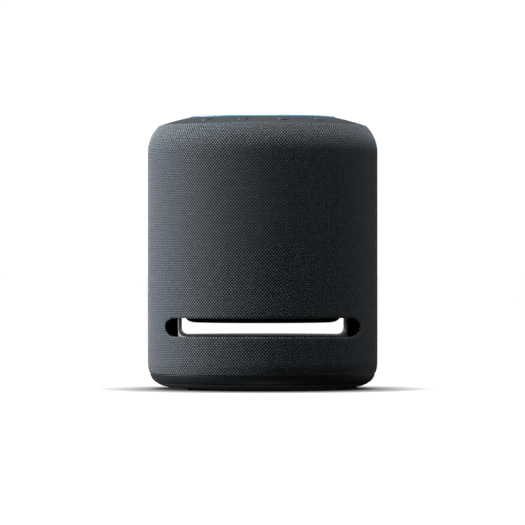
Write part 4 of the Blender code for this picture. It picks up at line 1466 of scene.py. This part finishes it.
# %% Rolls of the small drivers
MID_DRIVERS = {
    "right": ((74.5 * MM, 0, 150 * MM), (1, 0, 0)),
    "left": ((-74.5 * MM, 0, 150 * MM), (-1, 0, 0)),
    "top": ((0, 0, 187 * MM), (0, 0, 1)),
}
for side, (seat, axis) in MID_DRIVERS.items():
    section = [(r * MM, z * MM) for r, z in roll_between(16.9, 20.7, 2.0, 2.1, 0.5, flange=1.1)]
    mesh = turned(section, 72, sharp_angle=50)
    mesh.transform(Vector((0, 0, 1)).rotation_difference(Vector(axis)).to_matrix().to_4x4())
    mesh.transform(Matrix.Translation(seat))
    sizes = (seat, axis, 16.8 * MM, 20.8 * MM)
    blended_roll(f"{side}_roll", mesh, RUBBER, f"{side}_mid_diaphragm", f"{side}_mid_surround", *sizes)

# %% [markdown]
# ## The base
# Below the sleeve a smooth satin band curves in to a plate. Between them runs a fine shadow line. The
# plate carries four rubber feet and three screws, and shallow ribs run out from its middle, as on a
# real moulding.

# %% Base band
band_top, band_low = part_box("base_cover")[1].z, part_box("base_cover")[0].z
curve = [(85.9, 11.6), (85.7, 10.8), (85.2, 9.6), (84.5, 8.1), (83.4, 6.6), (81.8, 5.1)]
band_section = [(85.6 * MM, band_top, 0.3 * MM)]
for k in range(1, 13):
    spot = min(k / 13 * 5, 4.999)
    a, b, t = curve[int(spot)], curve[int(spot) + 1], spot % 1
    band_section.append(((a[0] + (b[0] - a[0]) * t) * MM, (a[1] + (b[1] - a[1]) * t) * MM, 0.9 * MM))
band_section += [
    (81.8 * MM, band_low + 0.1 * MM, 0.35 * MM),
    (76.5 * MM, band_low, 0.3 * MM),
    (76.5 * MM, band_top, 0.3 * MM),
]
band_mesh = turned(rounded(band_section), 256)
piece("base_band", band_mesh, BASE, replaces=("base_cover",))

# %% Tree: ribs or grooves that fan out from the middle
fan, given = node_tree(
    "rib_fan",
    {"Count": 24, "Circle Radius": 0.0, "Length": 0.0, "Width": 0.0, "Height": 0.0, "Material": BASE},
)
circle = wire(
    fan, "GeometryNodeMeshCircle", {"Vertices": given["Count"], "Radius": given["Circle Radius"]}
)
size = wire(
    fan, "ShaderNodeCombineXYZ", {0: given["Length"], 1: given["Width"], 2: given["Height"]}
).outputs[0]
rib = wire(fan, "GeometryNodeMeshCube", {"Size": size})
spot = wire(fan, "GeometryNodeInputPosition").outputs[0]
turn = wire(fan, "FunctionNodeAlignRotationToVector", {"Vector": spot}, axis="X")
ribs = wire(
    fan,
    "GeometryNodeInstanceOnPoints",
    {"Points": circle.outputs[0], "Instance": rib.outputs[0], "Rotation": turn.outputs[0]},
)
close_tree(fan, given, ribs.outputs[0])


def rib_ring(count, radius, length, width, low, high, phase=0.0):
    seed = bpy.data.meshes.new("seed")
    values = {"Count": count, "Circle Radius": radius, "Length": length, "Width": width}
    made = grown(seed, fan, {**values, "Height": high - low, "Material": BASE})
    made.transform(Matrix.Translation((0, 0, (low + high) / 2)))
    made.transform(Matrix.Rotation(phase, 4, "Z"))
    return made


# %% Bottom plate
SCREW_CIRCLE = 59.0 * MM
screw_spots = [
    (SCREW_CIRCLE * math.cos(math.radians(a)), SCREW_CIRCLE * math.sin(math.radians(a)))
    for a in (30, 150, 270)
]
plate_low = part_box("bottom_plate")[0].z


def build_plate():
    """The plate with a sunk middle, fanned grooves and counterbores."""
    corners = [
        (0.0, 4.7 * MM, 0),
        (81.0 * MM, 4.7 * MM, 0.25 * MM),
        (79.2 * MM, 3.5 * MM, 3 * MM),
        (75.6 * MM, 2.1 * MM, 3 * MM),
        (72.6 * MM, plate_low, 2 * MM),
        (52.0 * MM, plate_low, 0.4 * MM),
        (51.4 * MM, plate_low + 0.6 * MM, 0.3 * MM),
        (0.0, plate_low + 0.6 * MM, 0),
    ]
    mesh = turned(rounded(corners, closed=False), 256)
    low = plate_low + 0.35 * MM
    tools = [rib_ring(36, 33 * MM, 26 * MM, 1.4 * MM, low, plate_low + 1.3 * MM)]
    for x, y in screw_spots:
        tools.append(cylinder(3.4 * MM, -1 * MM, 3.3 * MM, centre=(x, y), segments=48))
        tools.append(cylinder(1.8 * MM, -1 * MM, 8 * MM, centre=(x, y), segments=32))
    mesh = combined(mesh, tools)
    shade(mesh, 30)
    return mesh


piece("base_plate", build_plate(), PLATE, replaces=("bottom_plate",))

# %% [markdown]
# ### Screws
# Three identical screws are one small mesh set on three points by Geometry Nodes. The head is turned
# with a slightly domed face, and its cross is carved once, before it is repeated.

# %% Screws


def one_screw():
    """A cross-head screw that stands on the origin, head down."""
    section = [(0.0, 15.0), (0.9, 14.4), (1.5, 13.4)]
    for k in range(14):
        z = 12.9 - 0.7 * k
        section += [(1.5, z), (1.2, z - 0.35)]
    section += [(1.5, 3.0), (2.8, 3.0), (2.9, 2.8), (2.9, 2.05), (2.6, 1.78), (1.6, 1.66), (0.0, 1.62)]
    mesh = turned([(r * MM, z * MM) for r, z in section], 32, sharp_angle=40)
    cross = plus_outline(1.75 * MM, 0.32 * MM)
    return combined(mesh, [bar(cross, 1.0 * MM, 2.5 * MM, "Z")])


on_points, given = node_tree("screw_places", {"Material": STEEL})
item = wire(on_points, "GeometryNodeObjectInfo")
item.transform_space = "ORIGINAL"
screw_seed = bpy.data.objects.new("one_screw", one_screw())
item.inputs["Object"].default_value = screw_seed
placed = wire(
    on_points,
    "GeometryNodeInstanceOnPoints",
    {"Points": given["Geometry"], "Instance": item.outputs["Geometry"]},
)
close_tree(on_points, given, placed.outputs[0])
spots_mesh = bpy.data.meshes.new("screw_spots")
spots_mesh.from_pydata([(x, y, 0) for x, y in screw_spots], [], [])
screws_mesh = grown(spots_mesh, on_points, {"Material": STEEL})
bpy.data.objects.remove(screw_seed)
shade(screws_mesh, 40)
nodes = ("base_screw_1", "base_screw_2", "base_screw_3")
piece("base_screws", screws_mesh, STEEL, replaces=nodes)

# %% [markdown]
# ### Feet
# Each foot is a rubber arc under the rim, with grooves across it that keep it from sticking to a shelf.
# The arc is drawn as an outline, its edges are softened, and the fan of ribs from the plate cuts the
# grooves.

# %% Feet
foot_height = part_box("foot_front_left")[1].z
FEET = {
    "foot_front_left": -152.5,
    "foot_front_right": -27.5,
    "foot_rear_right": 27.5,
    "foot_rear_left": 152.5,
}


def build_foot(middle):
    outer, inner, half = 74.5 * MM, 69.0 * MM, math.radians(13.5)
    turn = math.radians(middle)
    outline = []
    for k in range(25):
        angle = turn - half + 2 * half * k / 24
        outline.append((outer * math.cos(angle), outer * math.sin(angle)))
    for k in range(25):
        angle = turn + half - 2 * half * k / 24
        outline.append((inner * math.cos(angle), inner * math.sin(angle)))
    mesh = softened(bar(outline, 0.0, foot_height, "Z"), 0.35 * MM, 3, 50)
    radius = (outer + inner) / 2
    grooves = rib_ring(90, radius, 9 * MM, 0.8 * MM, -1 * MM, 0.3 * MM, turn + math.tau / 180)
    mesh = combined(mesh, [grooves])
    shade(mesh, 35)
    return mesh


for name, middle in FEET.items():
    piece(f"{name}_pad", build_foot(middle), RUBBER, replaces=(name,))

# %% [markdown]
# ## Connectors at the back
# The mains lead, an audio lead and a service plug go into a recess low at the back. Its tray is one
# thin moulding whose rim follows the drum. Each socket is built as a body with a cavity; the mains inlet
# has two contact pins in it, and the service port a contact tongue.

# %% Tray
PANEL_Z = 25 * MM
TRAY_FACE = 77.8


def slab(x, half_width, half_height, corner, low, high, rise=0.0, steps=8):
    """A round-cornered bar along Y on the panel. All sizes are in mm."""
    sizes = (x * MM, PANEL_Z + rise * MM, half_width * MM, half_height * MM, corner * MM)
    return bar(round_box(*sizes, steps), low * MM, high * MM)


def build_tray():
    outer = slab(0, 26.7, 8.2, 3.7, 75.5, 90)
    drum = turned(
        rounded([(0.0, 0.05, 0), (87.2 * MM, 0.05, 0), (87.2 * MM, 0.0, 0), (0.0, 0.0, 0)], False), 256
    )
    mesh = combined(outer, [drum], "INTERSECT")
    hollow = slab(0, 25.2, 6.7, 2.4, TRAY_FACE, 100)
    inlet = slab(-13, 10.3, 5.5, 4.8, 70, 100)
    jack = cylinder(4.4 * MM, 70 * MM, 100 * MM, "Y", (6 * MM, PANEL_Z), 48)
    port = slab(16.8, 4.2, 2.0, 1.3, 70, 100)
    mesh = combined(mesh, [hollow, inlet, jack, port])
    shade(mesh, 30)
    return mesh


piece("connector_tray", build_tray(), BLACK, replaces=("connector_panel",))

# %% Sockets


def build_inlet():
    """The mains inlet: a rounded body with a figure-of-eight cavity."""
    body = softened(slab(-13, 10, 5.2, 4.5, 61, 78.4, steps=10), 0.3 * MM, 2, 50)
    left = cylinder(4.1 * MM, 66.4 * MM, 0.1, "Y", (-17.3 * MM, PANEL_Z), 48)
    right = cylinder(4.1 * MM, 66.4 * MM, 0.1, "Y", (-8.7 * MM, PANEL_Z), 48)
    waist = slab(-13, 4.3, 3.2, 0.2, 66.4, 100)
    mesh = combined(body, [left, right, waist])
    shade(mesh, 35)
    return mesh


def along_back(mesh, x):
    """A piece turned about Z, laid along Y at the middle of the panel."""
    mesh.transform(Matrix.Rotation(-math.pi / 2, 4, "X"))
    mesh.transform(Matrix.Translation((x, 0, PANEL_Z)))
    return mesh


def build_jack():
    section = [
        (4.0 * MM, 61.0 * MM, 0.3 * MM),
        (4.0 * MM, 78.4 * MM, 0.4 * MM),
        (3.0 * MM, 78.4 * MM, 0.1 * MM),
        (2.9 * MM, 78.1 * MM, 0.1 * MM),
        (2.3 * MM, 78.1 * MM, 0.1 * MM),
        (1.8 * MM, 77.6 * MM, 0.1 * MM),
        (1.8 * MM, 68.4 * MM, 0.1 * MM),
        (0.0, 68.4 * MM, 0),
    ]
    points = [(0.0, 61.0 * MM)] + rounded(section, closed=False)
    return along_back(turned(points, 64), 6 * MM)


def build_port():
    """The service port: a drawn steel sleeve with its contact tongue."""
    sleeve = slab(16.8, 3.9, 1.7, 1.0, 70, 78.4)
    mouth = slab(16.8, 3.55, 1.35, 0.7, 72.5, 100)
    tongue = slab(16.8, 2.6, 0.3, 0.1, 72, 77, rise=0.4)
    mesh = combined(combined(sleeve, [mouth]), [tongue], "UNION")
    shade(mesh, 35)
    return mesh


piece("mains_inlet", build_inlet(), BLACK, replaces=("power_inlet",))
piece("audio_jack", build_jack(), BLACK, replaces=("line_in_jack",))
piece("service_socket", build_port(), STEEL, replaces=("service_port",))

# %% Contact pins


def build_pin(x):
    section = [(0.0, 66.7), (1.2, 66.7), (1.2, 75.6), (1.05, 76.1), (0.7, 76.4), (0.0, 76.4)]
    return along_back(turned([(r * MM, z * MM) for r, z in section], 32), x)


for side, x in (("left", -17.3 * MM), ("right", -8.7 * MM)):
    node = f"inlet_pin_{side}"
    piece(f"{side}_contact_pin", build_pin(x), STEEL, replaces=(node,))

# %% [markdown]
# ## What stays from the frame
# Everything else is inside, behind the knit. Its plain solids already have the right shape, so they
# only get their finish: black mouldings, steel, ferrite, paper, silk, copper and circuit board.

# %% Finishes for the inner pieces
FINISHES = {
    BLACK: ("acoustic_enclosure", "upper_grille", "lower_grille", "chassis", "tweeter_faceplate"),
    STEEL: ("woofer_basket", "woofer_top_plate", "woofer_pole_piece"),
    FERRITE: ("woofer_magnet", "tweeter_magnet", "transformer"),
    COPPER: ("voice_coil",),
    SILK: ("tweeter_dome",),
    BOARD: ("control_board", "main_board", "power_board"),
}
for side in MID_DRIVERS:
    FINISHES[BLACK] += (f"{side}_mid_frame",)
    FINISHES[FERRITE] += (f"{side}_mid_magnet",)
    FINISHES.setdefault(PAPER, ())
    FINISHES[PAPER] += (f"{side}_mid_cone",)
for kind in KEY_ANGLES:
    FINISHES[BLACK] += (f"{kind}_switch",)
for material, names in FINISHES.items():
    for name in names:
        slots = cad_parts[name].material_slots
        for slot in slots:
            slot.material = material
plain = [
    name
    for name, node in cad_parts.items()
    if not node.hide_render and not any(name in names for names in FINISHES.values())
]
print("nodes left plain:", plain)

# %% [markdown]
# ## Size
# The finished model is meant to be as big as the frame. Both boxes are measured, and the largest
# difference between them is printed.

# %% Sizes and the end
new_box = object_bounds()
growth = max(abs(a - b) for a, b in zip([*cad_box[0], *cad_box[1]], [*new_box[0], *new_box[1]]))
print("the visual model's box differs by", round(growth / MM, 2), "mm at most")
